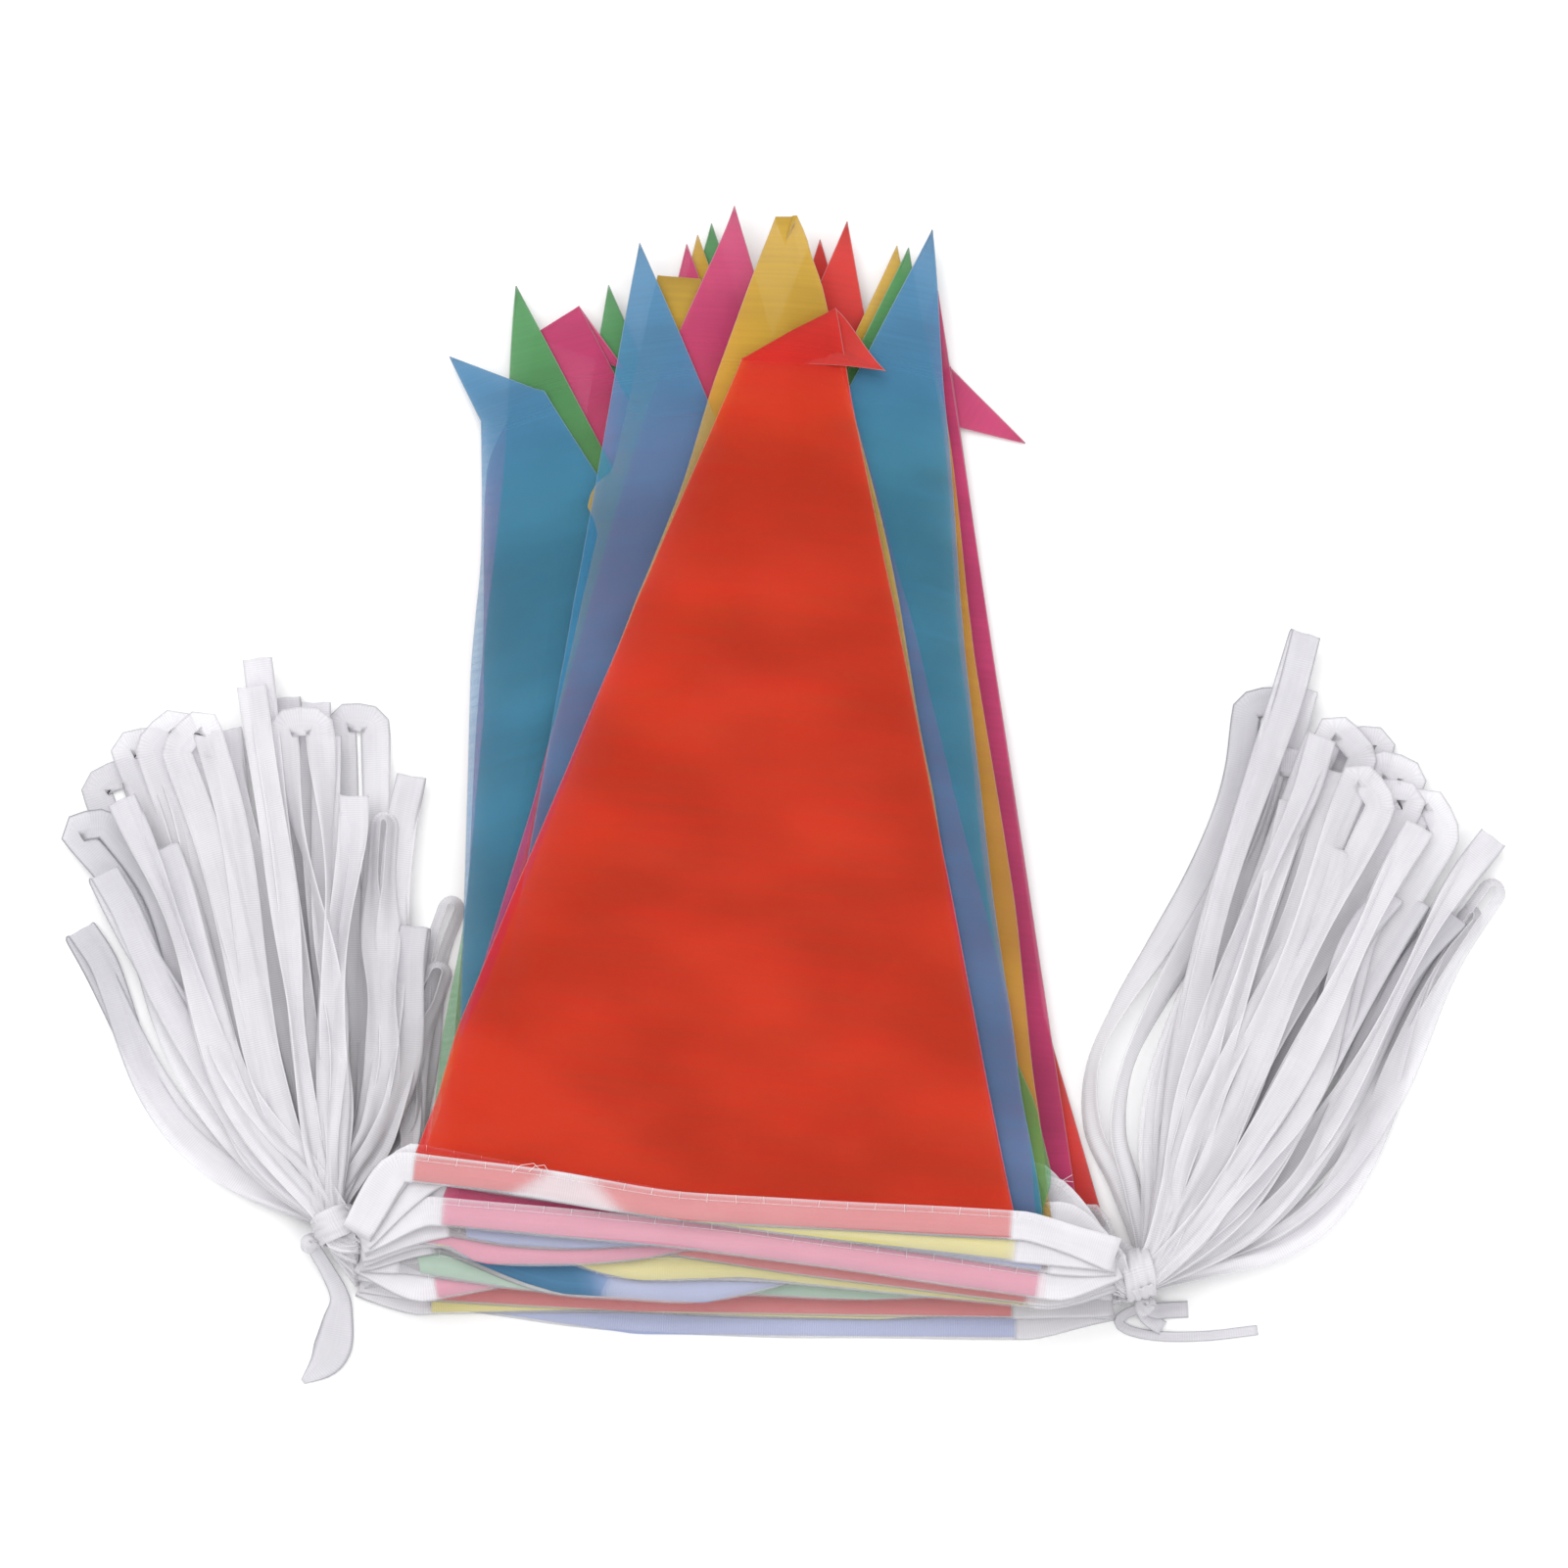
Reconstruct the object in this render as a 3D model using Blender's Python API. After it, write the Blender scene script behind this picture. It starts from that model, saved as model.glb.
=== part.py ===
"""Pennant bunting folded up for storage, lying on a table.

Twenty-three triangular cloth pennants lie one on another, fanned out at their points. A folded white
tape runs along the base of each, and the bare tape between pennants is gathered at both ends into a
bunch of loops, which a tie of the same tape holds at the neck.

Lengths in this file are millimetres, and the meshes are written in metres. +X runs along the tapes to
the right, +Y from the tapes to the pennants' points, and +Z is up from the table. The origin is on the
table, under the middle of the lowest pennant.
"""

import bisect
import math

import bmesh
import bpy
from mathutils import Vector, geometry

MM = 0.001

# The cut pieces.
PENNANT_WIDE = 180.0
PENNANT_LONG = 311.0
TAPE_WIDE = 9.0
CLOTH = 1.0
GAP = 0.3
PITCH = CLOTH + GAP

# How the pile lies. Heights are kept where these lines cross, so that no sheet cuts into the next.
LINES_X = tuple(range(-150, 171, 28))
LINES_Y = tuple(range(-120, 97, 36)) + tuple(range(114, 259, 18))
FALL = 46.0
SWELL = 0.13
SWELL_LONG = 105.0
FLAT = 0.0005
FOLD_BEAD = 1.5
FOLD_PROUD = 0.4

# Where the tapes' ends are gathered, for the lowest sheet and for the highest.
LEFT_GATHER = (Vector((-111.0, -92.6)), Vector((-111.0, -81.4)))
RIGHT_GATHER = (Vector((115.9, -99.5)), Vector((115.9, -88.5)))
GATHER_WIDE = 9.0

RED = (0.78, 0.07, 0.03)
YELLOW = (0.85, 0.62, 0.06)
PINK = (0.80, 0.06, 0.24)
BLUE = (0.08, 0.30, 0.62)
GREEN = (0.10, 0.50, 0.16)
WHITE = (0.86, 0.86, 0.88)

# The pennants from the lowest up. base_x and base_y are the middle of the seam, turn is in degrees
# clockwise, skew is how far the cloth's bias lets the point slip sideways, and short is how much of its
# length the ripples take up.
PENNANT_COLUMNS = ("name", "colour", "base_x", "base_y", "turn", "skew", "short")
PENNANTS = (
    ("blue_4", BLUE, -2.8, -100.6, 0.5, 0, 0),
    ("yellow_5", YELLOW, -1.3, -96.9, -0.5, 0, 3),
    ("red_4", RED, -4.2, -94.1, 0.8, 0, 3),
    ("red_3", RED, 25.1, -79.4, 0.5, 0, 0),
    ("pink_5", PINK, 18.3, -83.7, 8.4, 0, 0),
    ("pink_6", PINK, 20.1, -83.3, 8.4, 0, 9),
    ("green_4", GREEN, 2.9, -74.3, -1.6, 0, 0),
    ("yellow_4", YELLOW, 3.5, -78.3, -2.5, 0, 0),
    ("pink_4", PINK, 2.3, -81.5, -2.9, 0, 0),
    ("green_3", GREEN, 0.3, -92.3, -7.0, 0, 0),
    ("pink_3", PINK, -0.9, -74.7, -10.5, 0, 0),
    ("green_2", GREEN, -8.0, -88.8, -10.8, 0, 0),
    ("blue_3", BLUE, 3.8, -85.2, -15.1, 0, 0),
    ("yellow_3", YELLOW, 2.0, -85.3, 4.5, -44.6, -12),
    ("red_2", RED, 2.4, -75.2, 6.2, 0, -2.5),
    ("pink_2", PINK, -5.2, -71.7, 1.2, 0, -1.5),
    ("blue_2", BLUE, 6.8, -81.4, -6.4, 0, 0),
    ("yellow_2", YELLOW, 10.0, -78.9, 7.7, 0, 0),
    ("green_1", GREEN, 7.7, -79.0, 8.8, 0, 0),
    ("pink_1", PINK, 3.6, -77.6, 3.9, 0, 7),
    ("blue_1", BLUE, 7.1, -74.7, 10.2, 0, -2.5),
    ("yellow_1", YELLOW, -3.8, -70.6, 5.1, -7, -4.5),
    ("red_1", RED, -4.3, -65.7, 5.4, 0, 16.5),
)

# Seams that aren't straight: at shares of the way from the left end, how far up towards the point.
SEAM_BENDS = {
    "blue_4": ((0, 8.7), (0.36, 0), (1, 0)),
    "yellow_5": ((0, 3.7), (0.27, 4.2), (0.5, 2.1), (0.76, 0.5), (1, 3.1)),
    "red_4": ((0, 2.9), (0.36, 0), (1, 0)),
    "pink_5": ((0, 0), (0.65, 1.6), (0.83, 9.9), (1, 25.0)),
    "pink_6": ((0, 0), (0.65, 1.0), (0.83, 9.3), (1, 24.4)),
    "green_3": ((0, 22.7), (0.2, 12.5), (0.52, 2.3), (0.72, -4.0), (1, -7.2)),
    "green_2": ((0, 21.1), (0.19, 10.3), (0.34, 3.8), (0.5, -0.9), (1, 0)),
    "blue_3": ((0, 28.4), (0.11, 16.4), (0.18, 9.7), (0.29, 3.5), (0.42, -4.3), (0.58, -5.0), (1, -1.8)),
    "yellow_3": ((0, 2.4), (0.19, 2.9), (0.27, -1.6), (0.34, -3.3), (0.52, 0.3), (1, -1.6)),
    "red_2": ((0, -3.2), (0.25, -3.9), (0.58, -7.0), (1, -8.2)),
    "pink_2": ((0, -4.6), (0.07, -6.0), (0.13, -11.5), (0.3, -10.6), (0.4, -8.4), (0.5, -3.8), (1, -1.7)),
    "blue_2": ((0, 17.2), (0.07, 13.8), (0.2, 10.0), (0.4, 8.1), (1, 0)),
    "green_1": ((0, 1.2), (0.48, 1.1), (1, 5.9)),
    "pink_1": ((0, 1.1), (0.25, 0), (0.41, -0.7), (0.67, -3.7), (1, -8.5)),
    "blue_1": ((0, 0.3), (0.29, 1.3), (0.48, 3.8), (1, 6.0)),
    "yellow_1": ((0, 7.7), (0.19, 4.5), (0.45, 0.4), (0.71, -1.4), (1, -2.7)),
    "red_1": ((0, -0.3), (0.2, -1.2), (0.36, -3.7), (0.46, -4.7), (0.7, -2.9), (1, -0.7)),
}
# Points that are folded under: how far down the left and the right edge the fold line crosses.
FOLDED_UNDER = {
    "red_1": (44.6, 24.2),
    "yellow_1": (10.0, 10.0),
    "yellow_3": (24.0, 26.0),
    "pink_3": (31.0, 25.0),
    "pink_5": (50.0, 33.5),
}
# Points that a crease swings aside: the crease's two distances, then where the point comes to lie.
CREASED = {"blue_3": (42.0, 39.0, -86.9, 194.0)}
# Edges that aren't straight: how far down from the point, and how far out of the straight there.
EDGE_BENDS = {
    ("green_2", "left"): ((63, -2.1), (113, -1.8), (140, -3.9), (198, -4.4), (243, -1.4)),
    ("yellow_3", "left"): ((86, 0), (94, 5.0), (100, 5.0), (106, 0)),
    ("pink_3", "left"): ((40, 0), (75, 10.0), (140, 5.0), (220, 1.5), (290, 0)),
    ("pink_2", "left"): ((78, 5.8), (173, 3.3), (205, 2.0), (240, 1.5)),
    ("pink_1", "right"): ((90, 3.5), (135, 5.1), (178, 5.4), (243, 7.0), (280, 4.0)),
    ("yellow_1", "left"): ((62, -0.5), (105, -2.6), (160, -1.5), (262, 0), (300, 3.0)),
    ("yellow_1", "right"): ((20, 3.0), (36, 4.3), (120, 6.6), (190, 4.0), (240, 1.0)),
    ("blue_3", "left"): ((82, -2.3), (125, -0.1)),
    ("yellow_2", "right"): ((59, 6.6), (143, 3.7), (205, 4.0), (273, 1.2)),
    ("green_1", "right"): ((57, 2.7), (141, -1.6), (203, -3.5), (252, -2.4), (278, 2.8), (297, 4.2)),
    ("blue_1", "right"): ((60, -2.2), (144, -4.5), (206, -4.5), (266, -2.5)),
    ("red_1", "left"): ((45, 3.0), (100, 3.6), (206, 3.5), (264, 3.2), (295, 0.4)),
    ("red_1", "right"): ((24, 4.5), (60, 3.2), (108, 2.8)),
}

# The loops of each bunch, six to a layer from the lowest layer up: where the loop's end lies, how far
# its runs bow to the right of the straight way there, and how far apart they lie halfway.
LOOP_COLUMNS = ("end_x", "end_y", "bow", "apart")
LEFT_LOOPS = (
    (-198, 14, -15, 0), (-187, 58, -12, 0), (-163, 64, -8, 0),
    (-136, 86, 2, 0), (-114, 76, 8, 4), (-85, 21, 15, 5),
    (-193, 43, -13, 5), (-178, 68, -10, 0), (-153, 76, -2, 0),
    (-126, 84, 4, 0), (-97, 61, 12, 0), (-90, 1, 14, 4),
    (-189, 28, -10, 0), (-170, 68, -9, 6), (-144, 94, 0, 0),
    (-123, 70, 5, 0), (-106, 43, 9, 3), (-97, 11, 9, 0),
    (-179, 42, -8, 0), (-160, 58, -5, 3), (-144, 76, -1, 0),
    (-130, 61, 2, 0), (-116, 42, 4, 0), (-166, 27, -8, 0),
)
RIGHT_LOOPS = (
    (163, 81, -26, 8), (179, 62, -9, 0), (193, 69, 2, 0),
    (211, 50, 9, 0), (232, 27, 18, 5), (226, 18, 22, 3),
    (166, 66, -11, 3), (175, 89, -7, 0), (188, 69, 0, 0),
    (202, 60, 6, 0), (233, 42, 11, 0), (221, 18, 17, 0),
    (175, 102, -5, 0), (170, 58, -6, 4), (186, 58, -3, 0),
    (199, 49, 4, 0), (212, 43, 10, 3), (207, 20, 11, 0),
    (176, 61, -4, 0), (168, 40, -4, 0), (189, 42, 0, 3),
    (204, 34, 6, 0), (178, 27, -2, 0), (195, 13, 6, 0),
)
LOOPS_A_LAYER = 6
LAYER_RISE = 4.8
LAYER_RISE_AT_END = 3.4
RUN_RISE = 1.9
BOW_EARLY = 0.62
SET_APART = 0.09
ROOT_LOW = 5.0
ROOT_RISE = 4.0

# The gathered body of each bunch, from the face where the tapes end: the middle of each section, its
# width, its underside's height and its height.
BODY_COLUMNS = ("x", "y", "wide", "low", "high")
LEFT_BODY = (
    (-111.3, -87.2, 21, 0.6, 31), (-115.9, -81.7, 11.5, 1.6, 23), (-120.1, -73.7, 11.5, 1.6, 23),
    (-123.2, -66.8, 25, 0.8, 23), (-130.5, -51.2, 43, 0.4, 22), (-137.3, -28.6, 57, 0.3, 20),
    (-141.8, -4.3, 60, 0.3, 17), (-144.2, 12.5, 42, 0.8, 12),
)
RIGHT_BODY = (
    (116.2, -94.3, 16, 0.6, 31), (118.7, -93.3, 12, 1.6, 23), (126.9, -90.7, 12, 1.6, 23),
    (134.1, -84.6, 27, 0.8, 23), (142.0, -70.0, 46, 0.4, 22), (151.4, -49.5, 62, 0.3, 20),
    (160.0, -22.4, 68, 0.3, 18), (166.9, 3.3, 60, 0.3, 15), (170.2, 18.7, 40, 0.8, 11),
)
BODY_SIDES = 16
PLEAT = 0.07
NECK_SECTION = 1

TIE_WIDE = 5.0
TIE_THICK = 1.2
KNOT = Vector((2.7, 2.7, 3.6))

# Each tie's knot, and its free ends as stations of x, y, the underside's height and the width there.
TAIL_COLUMNS = ("x", "y", "low", "wide")
LEFT_KNOT = Vector((-126.4, -81.8, 8.0))
LEFT_TAILS = (
    ((-126.0, -82.4, 7.0, 4.0), (-121.4, -90.0, 3.5, 4.5), (-117.8, -97.7, 1.0, 6.0),
     (-118.4, -105.0, 0.0, 9.5), (-119.8, -112.4, 0.0, 11.5), (-122.7, -117.8, 0.0, 9.0),
     (-128.9, -123.1, 0.0, 1.5)),
)
RIGHT_KNOT = Vector((125.6, -100.8, 8.0))
RIGHT_TAILS = (
    ((125.6, -101.2, 7.0, 4.0), (129.0, -101.9, 3.0, 5.0), (132.5, -101.4, 0.0, 5.0),
     (139.0, -101.1, 0.0, 5.0)),
    ((124.6, -101.2, 6.0, 4.0), (126.0, -103.4, 3.2, 4.6), (128.4, -105.2, 1.4, 4.6),
     (131.2, -106.9, 0.6, 4.6)),
    ((123.8, -101.4, 5.0, 3.0), (119.6, -102.9, 1.2, 3.0), (118.0, -104.8, 0.0, 3.0),
     (120.6, -107.3, 0.0, 3.0), (129.7, -109.2, 0.0, 3.0), (144.0, -109.2, 0.0, 3.0),
     (160.0, -107.4, 0.0, 3.0)),
)


def finish(mesh, name, colour):
    """A finished object of the mesh, which is in millimetres until here."""
    mesh.name = name
    for vertex in mesh.vertices:
        vertex.co *= MM
    material = bpy.data.materials.new(name + "_cloth")
    material.use_nodes = True
    shader = material.node_tree.nodes["Principled BSDF"]
    shader.inputs["Base Color"].default_value = (*colour, 1.0)
    shader.inputs["Roughness"].default_value = 0.8
    shader.inputs["Metallic"].default_value = 0.0
    mesh.materials.clear()
    mesh.materials.append(material)
    made = bpy.data.objects.new(name, mesh)
    bpy.context.scene.collection.objects.link(made)
    return made


def mesh_of(points, faces):
    mesh = bpy.data.meshes.new("piece")
    mesh.from_pydata(points, [], faces)
    return mesh


def in_triangles(mesh):
    """The mesh in triangles, which a Boolean takes exactly, with every face turned outwards."""
    split = bmesh.new()
    split.from_mesh(mesh)
    bmesh.ops.triangulate(split, faces=split.faces)
    bmesh.ops.recalc_face_normals(split, faces=split.faces)
    split.to_mesh(mesh)
    split.free()
    return mesh


def combined(first, second, operation):
    """The mesh that a Boolean of two closed meshes gives. Both meshes are used up."""
    parts = [bpy.data.objects.new("operand", in_triangles(mesh)) for mesh in (first, second)]
    for part in parts:
        bpy.context.scene.collection.objects.link(part)
    modifier = parts[0].modifiers.new("Combine", "BOOLEAN")
    modifier.operation = operation
    modifier.object = parts[1]
    graph = bpy.context.evaluated_depsgraph_get()
    result = bpy.data.meshes.new_from_object(parts[0].evaluated_get(graph))
    for part, mesh in zip(parts, (first, second)):
        bpy.data.objects.remove(part)
        bpy.data.meshes.remove(mesh)
    return result


# --- the pile of sheets ---------------------------------------------------------------------------


def away(point, outline):
    """How far a point is outside a closed outline, and 0 inside it."""
    inside = False
    nearest = math.inf
    for a, b in zip(outline, outline[1:] + outline[:1]):
        side = b - a
        along = max(0.0, min(1.0, (point - a).dot(side) / side.length_squared))
        nearest = min(nearest, (point - a - along * side).length)
        if (a.y > point.y) != (b.y > point.y):
            if point.x < a.x + (point.y - a.y) / (b.y - a.y) * (b.x - a.x):
                inside = not inside
    return 0.0 if inside else nearest


def meet(first, second):
    """Whether two closed outlines share any ground."""
    for points, other in ((first, second), (second, first)):
        if any(away(point, other) == 0.0 for point in points):
            return True
    sides = [list(zip(outline, outline[1:] + outline[:1])) for outline in (first, second)]
    return any(geometry.intersect_line_line_2d(a, b, c, d) for a, b in sides[0] for c, d in sides[1])


def place(i, j):
    return Vector((LINES_X[i], LINES_Y[j]))


def halves(i, j):
    """The two triangles of the cell between lines i and i + 1 and lines j and j + 1."""
    return ((i, j), (i + 1, j + 1), (i + 1, j)), ((i, j), (i, j + 1), (i + 1, j + 1))


class Pile:
    """Sheets laid one on another. A sheet is lifted by each one under it, and sinks past its edges."""

    def __init__(self):
        self.lifts = {(i, j): 0.0 for i in range(len(LINES_X)) for j in range(len(LINES_Y))}
        self.sheets = 0

    def lay(self, *outlines):
        """Raises what comes next over a new sheet, which is the outlines together."""
        covered = set()
        for i in range(len(LINES_X) - 1):
            for j in range(len(LINES_Y) - 1):
                for half in halves(i, j):
                    if any(meet([place(*at) for at in half], outline) for outline in outlines):
                        covered.update(half)
        for i, j in self.lifts:
            at = place(i, j)
            clear = min(away(at, outline) for outline in outlines)
            near = 1.0 if (i, j) in covered else max(0.0, 1.0 - clear / FALL)
            swell = SWELL * (1 + math.sin(2 * math.pi * at.y / SWELL_LONG + 0.12 * self.sheets))
            self.lifts[i, j] += near * (PITCH + swell)
        self.sheets += 1

    def heights(self):
        return dict(self.lifts)


def span(lines, values):
    """The numbers of the lines that take in all the values."""
    first = bisect.bisect_right(lines, min(values)) - 1
    last = bisect.bisect_left(lines, max(values))
    return range(first, last + 1)


def slab(outline, low, high, low_add, high_add):
    """A closed slab round an outline, between the heights low + low_add and high + high_add."""
    columns = span(LINES_X, [p.x for p in outline])
    rows = span(LINES_Y, [p.y for p in outline])
    places = [(i, j) for j in rows for i in columns]
    number = {at: k for k, at in enumerate(places)}
    points = [(*place(*at), low[at] + low_add) for at in places]
    points += [(*place(*at), high[at] + high_add) for at in places]
    top = len(places)
    faces = []
    for j in rows[:-1]:
        for i in columns[:-1]:
            for half in halves(i, j):
                a, b, c = (number[at] for at in half)
                faces += [(a, b, c), (top + a, top + c, top + b)]
    rim = [(i, rows[0]) for i in columns] + [(columns[-1], j) for j in rows[1:]]
    rim += [(i, rows[-1]) for i in reversed(columns[:-1])] + [(columns[0], j) for j in reversed(rows[1:-1])]
    for at, to in zip(rim, rim[1:] + rim[:1]):
        a, b = number[at], number[to]
        faces.append((a, b, top + b, top + a))
    return mesh_of(points, faces)


def prism(outline):
    """A tall closed column over an outline that runs anticlockwise."""
    n = len(outline)
    points = [(p.x, p.y, z) for z in (-20.0, 90.0) for p in outline]
    faces = [tuple(reversed(range(n))), tuple(range(n, 2 * n))]
    faces += [(k, (k + 1) % n, n + (k + 1) % n, n + k) for k in range(n)]
    return mesh_of(points, faces)


def sheet(outline, low, high=None, low_add=0.0, high_add=CLOTH):
    """Cloth of the outline's shape, lying at the heights low and reaching up to high + high_add."""
    cut = combined(slab(outline, low, high or low, low_add, high_add), prism(outline), "INTERSECT")
    merged = bmesh.new()
    merged.from_mesh(cut)
    bmesh.ops.dissolve_limit(merged, angle_limit=FLAT, verts=merged.verts, edges=merged.edges)
    merged.to_mesh(cut)
    merged.free()
    return cut


# --- the pennants ---------------------------------------------------------------------------------


def mirrored(point, a, b):
    """The point as far on the other side of the line from a to b."""
    along = (b - a).normalized()
    offset = point - a
    return a + 2 * offset.dot(along) * along - offset


def pennant_points(row):
    """The left and right ends of a pennant's seam, and its point if it lay unfolded."""
    turn = math.radians(row["turn"])
    across = Vector((math.cos(turn), -math.sin(turn)))
    up = Vector((math.sin(turn), math.cos(turn)))
    middle = Vector((row["base_x"], row["base_y"]))
    half = across * PENNANT_WIDE / 2
    point = middle + up * (PENNANT_LONG - row["short"]) + across * row["skew"]
    return middle - half, middle + half, point


def seam(row):
    """The seam's corners from left to right."""
    left, right, point = pennant_points(row)
    long = (point - left.lerp(right, 0.5)).length
    corners = []
    for share, raised in SEAM_BENDS.get(row["name"], ((0, 0), (1, 0))):
        straight = left.lerp(right, share)
        corners.append(straight + (point - straight) * raised / long)
    return corners


def edge(row, side, past):
    """The bends of one edge from the point down, leaving out those before past."""
    left, right, point = pennant_points(row)
    along = ((left if side == "left" else right) - point).normalized()
    out = Vector((along.y, -along.x)) if side == "left" else Vector((-along.y, along.x))
    bends = EDGE_BENDS.get((row["name"], side), ())
    return [point + along * down + out * away for down, away in bends if down > past]


def pennant_outlines(row):
    """(the outline that lies flat, the flap folded under it or None, the fold line or None)."""
    left, right, point = pennant_points(row)
    top, flap, fold, past = [point], None, None, (0.0, 0.0)
    if row["name"] in CREASED or row["name"] in FOLDED_UNDER:
        past = (CREASED.get(row["name"]) or FOLDED_UNDER[row["name"]])[:2]
        a = point + (left - point).normalized() * past[0]
        b = point + (right - point).normalized() * past[1]
        if row["name"] in CREASED:
            top = [b, Vector(CREASED[row["name"]][2:]), a]
        else:
            top, flap, fold = [b, a], [a, mirrored(point, a, b), b], (a, b)
    outline = seam(row) + edge(row, "right", past[1])[::-1] + top + edge(row, "left", past[0])
    return outline, flap, fold


def fold_outline(a, b):
    """The narrow strip that joins a flap to its pennant along the fold from a to b."""
    along = (b - a).normalized()
    out = Vector((-along.y, along.x))
    start, end = a + along * GAP, b - along * GAP
    inner, outer = out * FOLD_BEAD, out * FOLD_PROUD
    return [start - inner, end - inner, end + outer, start + outer]


def tape_outline(row, height):
    """The tape from one gather, along the pennant's seam, to the other. height is 0 at the lowest sheet."""
    left, right, _ = pennant_points(row)
    along = (right - left).normalized()
    down = Vector((along.y, -along.x))
    upper = [corner + down * GAP * 1.2 for corner in seam(row)]
    lower = [corner + down * TAPE_WIDE for corner in upper]
    half = Vector((0.0, GATHER_WIDE / 2))
    start, end = (low.lerp(high, height) for low, high in (LEFT_GATHER, RIGHT_GATHER))
    return [start - half, *lower, end - half, end + half, *reversed(upper), start + half]


def build_pile():
    pile = Pile()
    for k, values in enumerate(PENNANTS):
        row = dict(zip(PENNANT_COLUMNS, values))
        outline, flap, fold = pennant_outlines(row)
        tape = tape_outline(row, k / (len(PENNANTS) - 1))
        flap_heights = pile.heights()
        if flap:
            pile.lay(flap)
        heights = pile.heights()
        pile.lay(outline, tape)
        body = sheet(outline, heights)
        if flap:
            body = combined(body, sheet(flap, flap_heights), "UNION")
            turned = sheet(fold_outline(*fold), flap_heights, heights, 0.3 * CLOTH, 0.7 * CLOTH)
            body = combined(body, turned, "UNION")
        finish(body, "pennant_" + row["name"], row["colour"])
        finish(sheet(tape, heights), "tape_" + row["name"], WHITE)


# --- the bunches of loops and their ties ----------------------------------------------------------


def ribbon(stations):
    """A flat strip through stations of (middle of its underside, way across it, way out of it, width)."""
    points = []
    for middle, across, out, wide in stations:
        half = across * wide / 2
        points += [middle - half, middle + half, middle + half + out * CLOTH, middle - half + out * CLOTH]
    faces = [(3, 2, 1, 0)]
    for k in range(0, len(points) - 4, 4):
        faces += [(k + s, k + (s + 1) % 4, k + 4 + (s + 1) % 4, k + 4 + s) for s in range(4)]
    last = len(points) - 4
    faces.append((last, last + 1, last + 2, last + 3))
    return mesh_of(points, faces)


def smooth(t):
    t = max(0.0, min(1.0, t))
    return t * t * (3 - 2 * t)


def loop(root, row, layer, order):
    """One loop of tape: out along the table, over at its end, and back on top of itself."""
    end = Vector((row["end_x"], row["end_y"]))
    way = end - root
    side = Vector((way.y, -way.x)).normalized()
    up = Vector((0.0, 0.0, 1.0))

    def run(t, top):
        bow = row["bow"] + (row["apart"] if top else -row["apart"]) / 2

        def at(share):
            return root + way * share + side * bow * math.sin(math.pi * share ** BOW_EARLY) ** 2

        plan = at(t)
        heading = at(t + 0.01) - plan
        across = Vector((heading.y, -heading.x, 0.0)).normalized()
        laid = layer * (LAYER_RISE + (LAYER_RISE_AT_END - LAYER_RISE) * smooth(t)) + order * SET_APART
        laid += top * RUN_RISE
        held = ROOT_LOW + layer * ROOT_RISE + 4 * order * SET_APART + 1.3 * top
        low = held + (laid - held) * smooth(t / 0.5)
        return Vector((plan.x, plan.y, low)), across, TAPE_WIDE * (0.55 + 0.45 * smooth(t / 0.6))

    steps = (0.0, 0.16, 0.32, 0.5, 0.68, 0.84, 1.0)
    stations = []
    for t in steps:
        middle, across, wide = run(t, 0)
        stations.append((middle, across, up, wide))
    tip, across, wide = run(1.0, 0)
    forward = Vector((way.x, way.y, 0.0)).normalized()
    turn_high = (RUN_RISE + CLOTH) / 2
    stations.append((tip + forward * turn_high + up * turn_high, across, -forward, wide))
    for t in reversed(steps):
        middle, across, wide = run(t, 1)
        stations.append((middle + up * CLOTH, across, -up, wide))
    return ribbon(stations)


def section(middle, across, wide, low, high, ridge):
    """The points round one upright section of a gathered body, flattened where it is near the table."""
    points = []
    for k in range(BODY_SIDES):
        angle = 2 * math.pi * k / BODY_SIDES
        size = 1 - ridge * (k % 2)
        x = math.copysign(abs(math.cos(angle)) ** 0.75, math.cos(angle)) * size
        z = math.copysign(abs(math.sin(angle)) ** 0.75, math.sin(angle)) * size
        plan = middle + across * x * wide / 2
        points.append(Vector((plan.x, plan.y, low + high * (1 + z) / 2)))
    return points


def loft(sections):
    """A closed body through sections that have the same number of points."""
    n = len(sections[0])
    points = [p for ring in sections for p in ring]
    faces = [tuple(reversed(range(n)))]
    for k in range(0, len(points) - n, n):
        faces += [(k + s, k + (s + 1) % n, k + n + (s + 1) % n, k + n + s) for s in range(n)]
    faces.append(tuple(range(len(points) - n, len(points))))
    return mesh_of(points, faces)


def body_sections(table):
    """The sections of a bunch's gathered body, each square to the way from its neighbours."""
    rows = [dict(zip(BODY_COLUMNS, values)) for values in table]
    middles = [Vector((row["x"], row["y"])) for row in rows]
    found = []
    for k, row in enumerate(rows):
        if k == 0:
            heading = Vector((math.copysign(1.0, row["x"]), 0.0))
        elif k in (NECK_SECTION, NECK_SECTION + 1):
            heading = middles[NECK_SECTION + 1] - middles[NECK_SECTION]
        else:
            heading = middles[min(k + 1, len(rows) - 1)] - middles[k - 1]
        across = Vector((heading.y, -heading.x)).normalized()
        ridge = 0.0 if k <= NECK_SECTION + 1 else PLEAT
        found.append(section(middles[k], across, row["wide"], row["low"], row["high"], ridge))
    return found


def build_bunch(name, table, loops):
    sections = body_sections(table)
    bunch = loft(sections)
    root = (Vector(table[NECK_SECTION + 1][:2]) + Vector(table[NECK_SECTION + 2][:2])) / 2
    for k, values in enumerate(loops):
        row = dict(zip(LOOP_COLUMNS, values))
        bunch = combined(bunch, loop(root, row, *divmod(k, LOOPS_A_LAYER)), "UNION")
    finish(bunch, name, WHITE)


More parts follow.
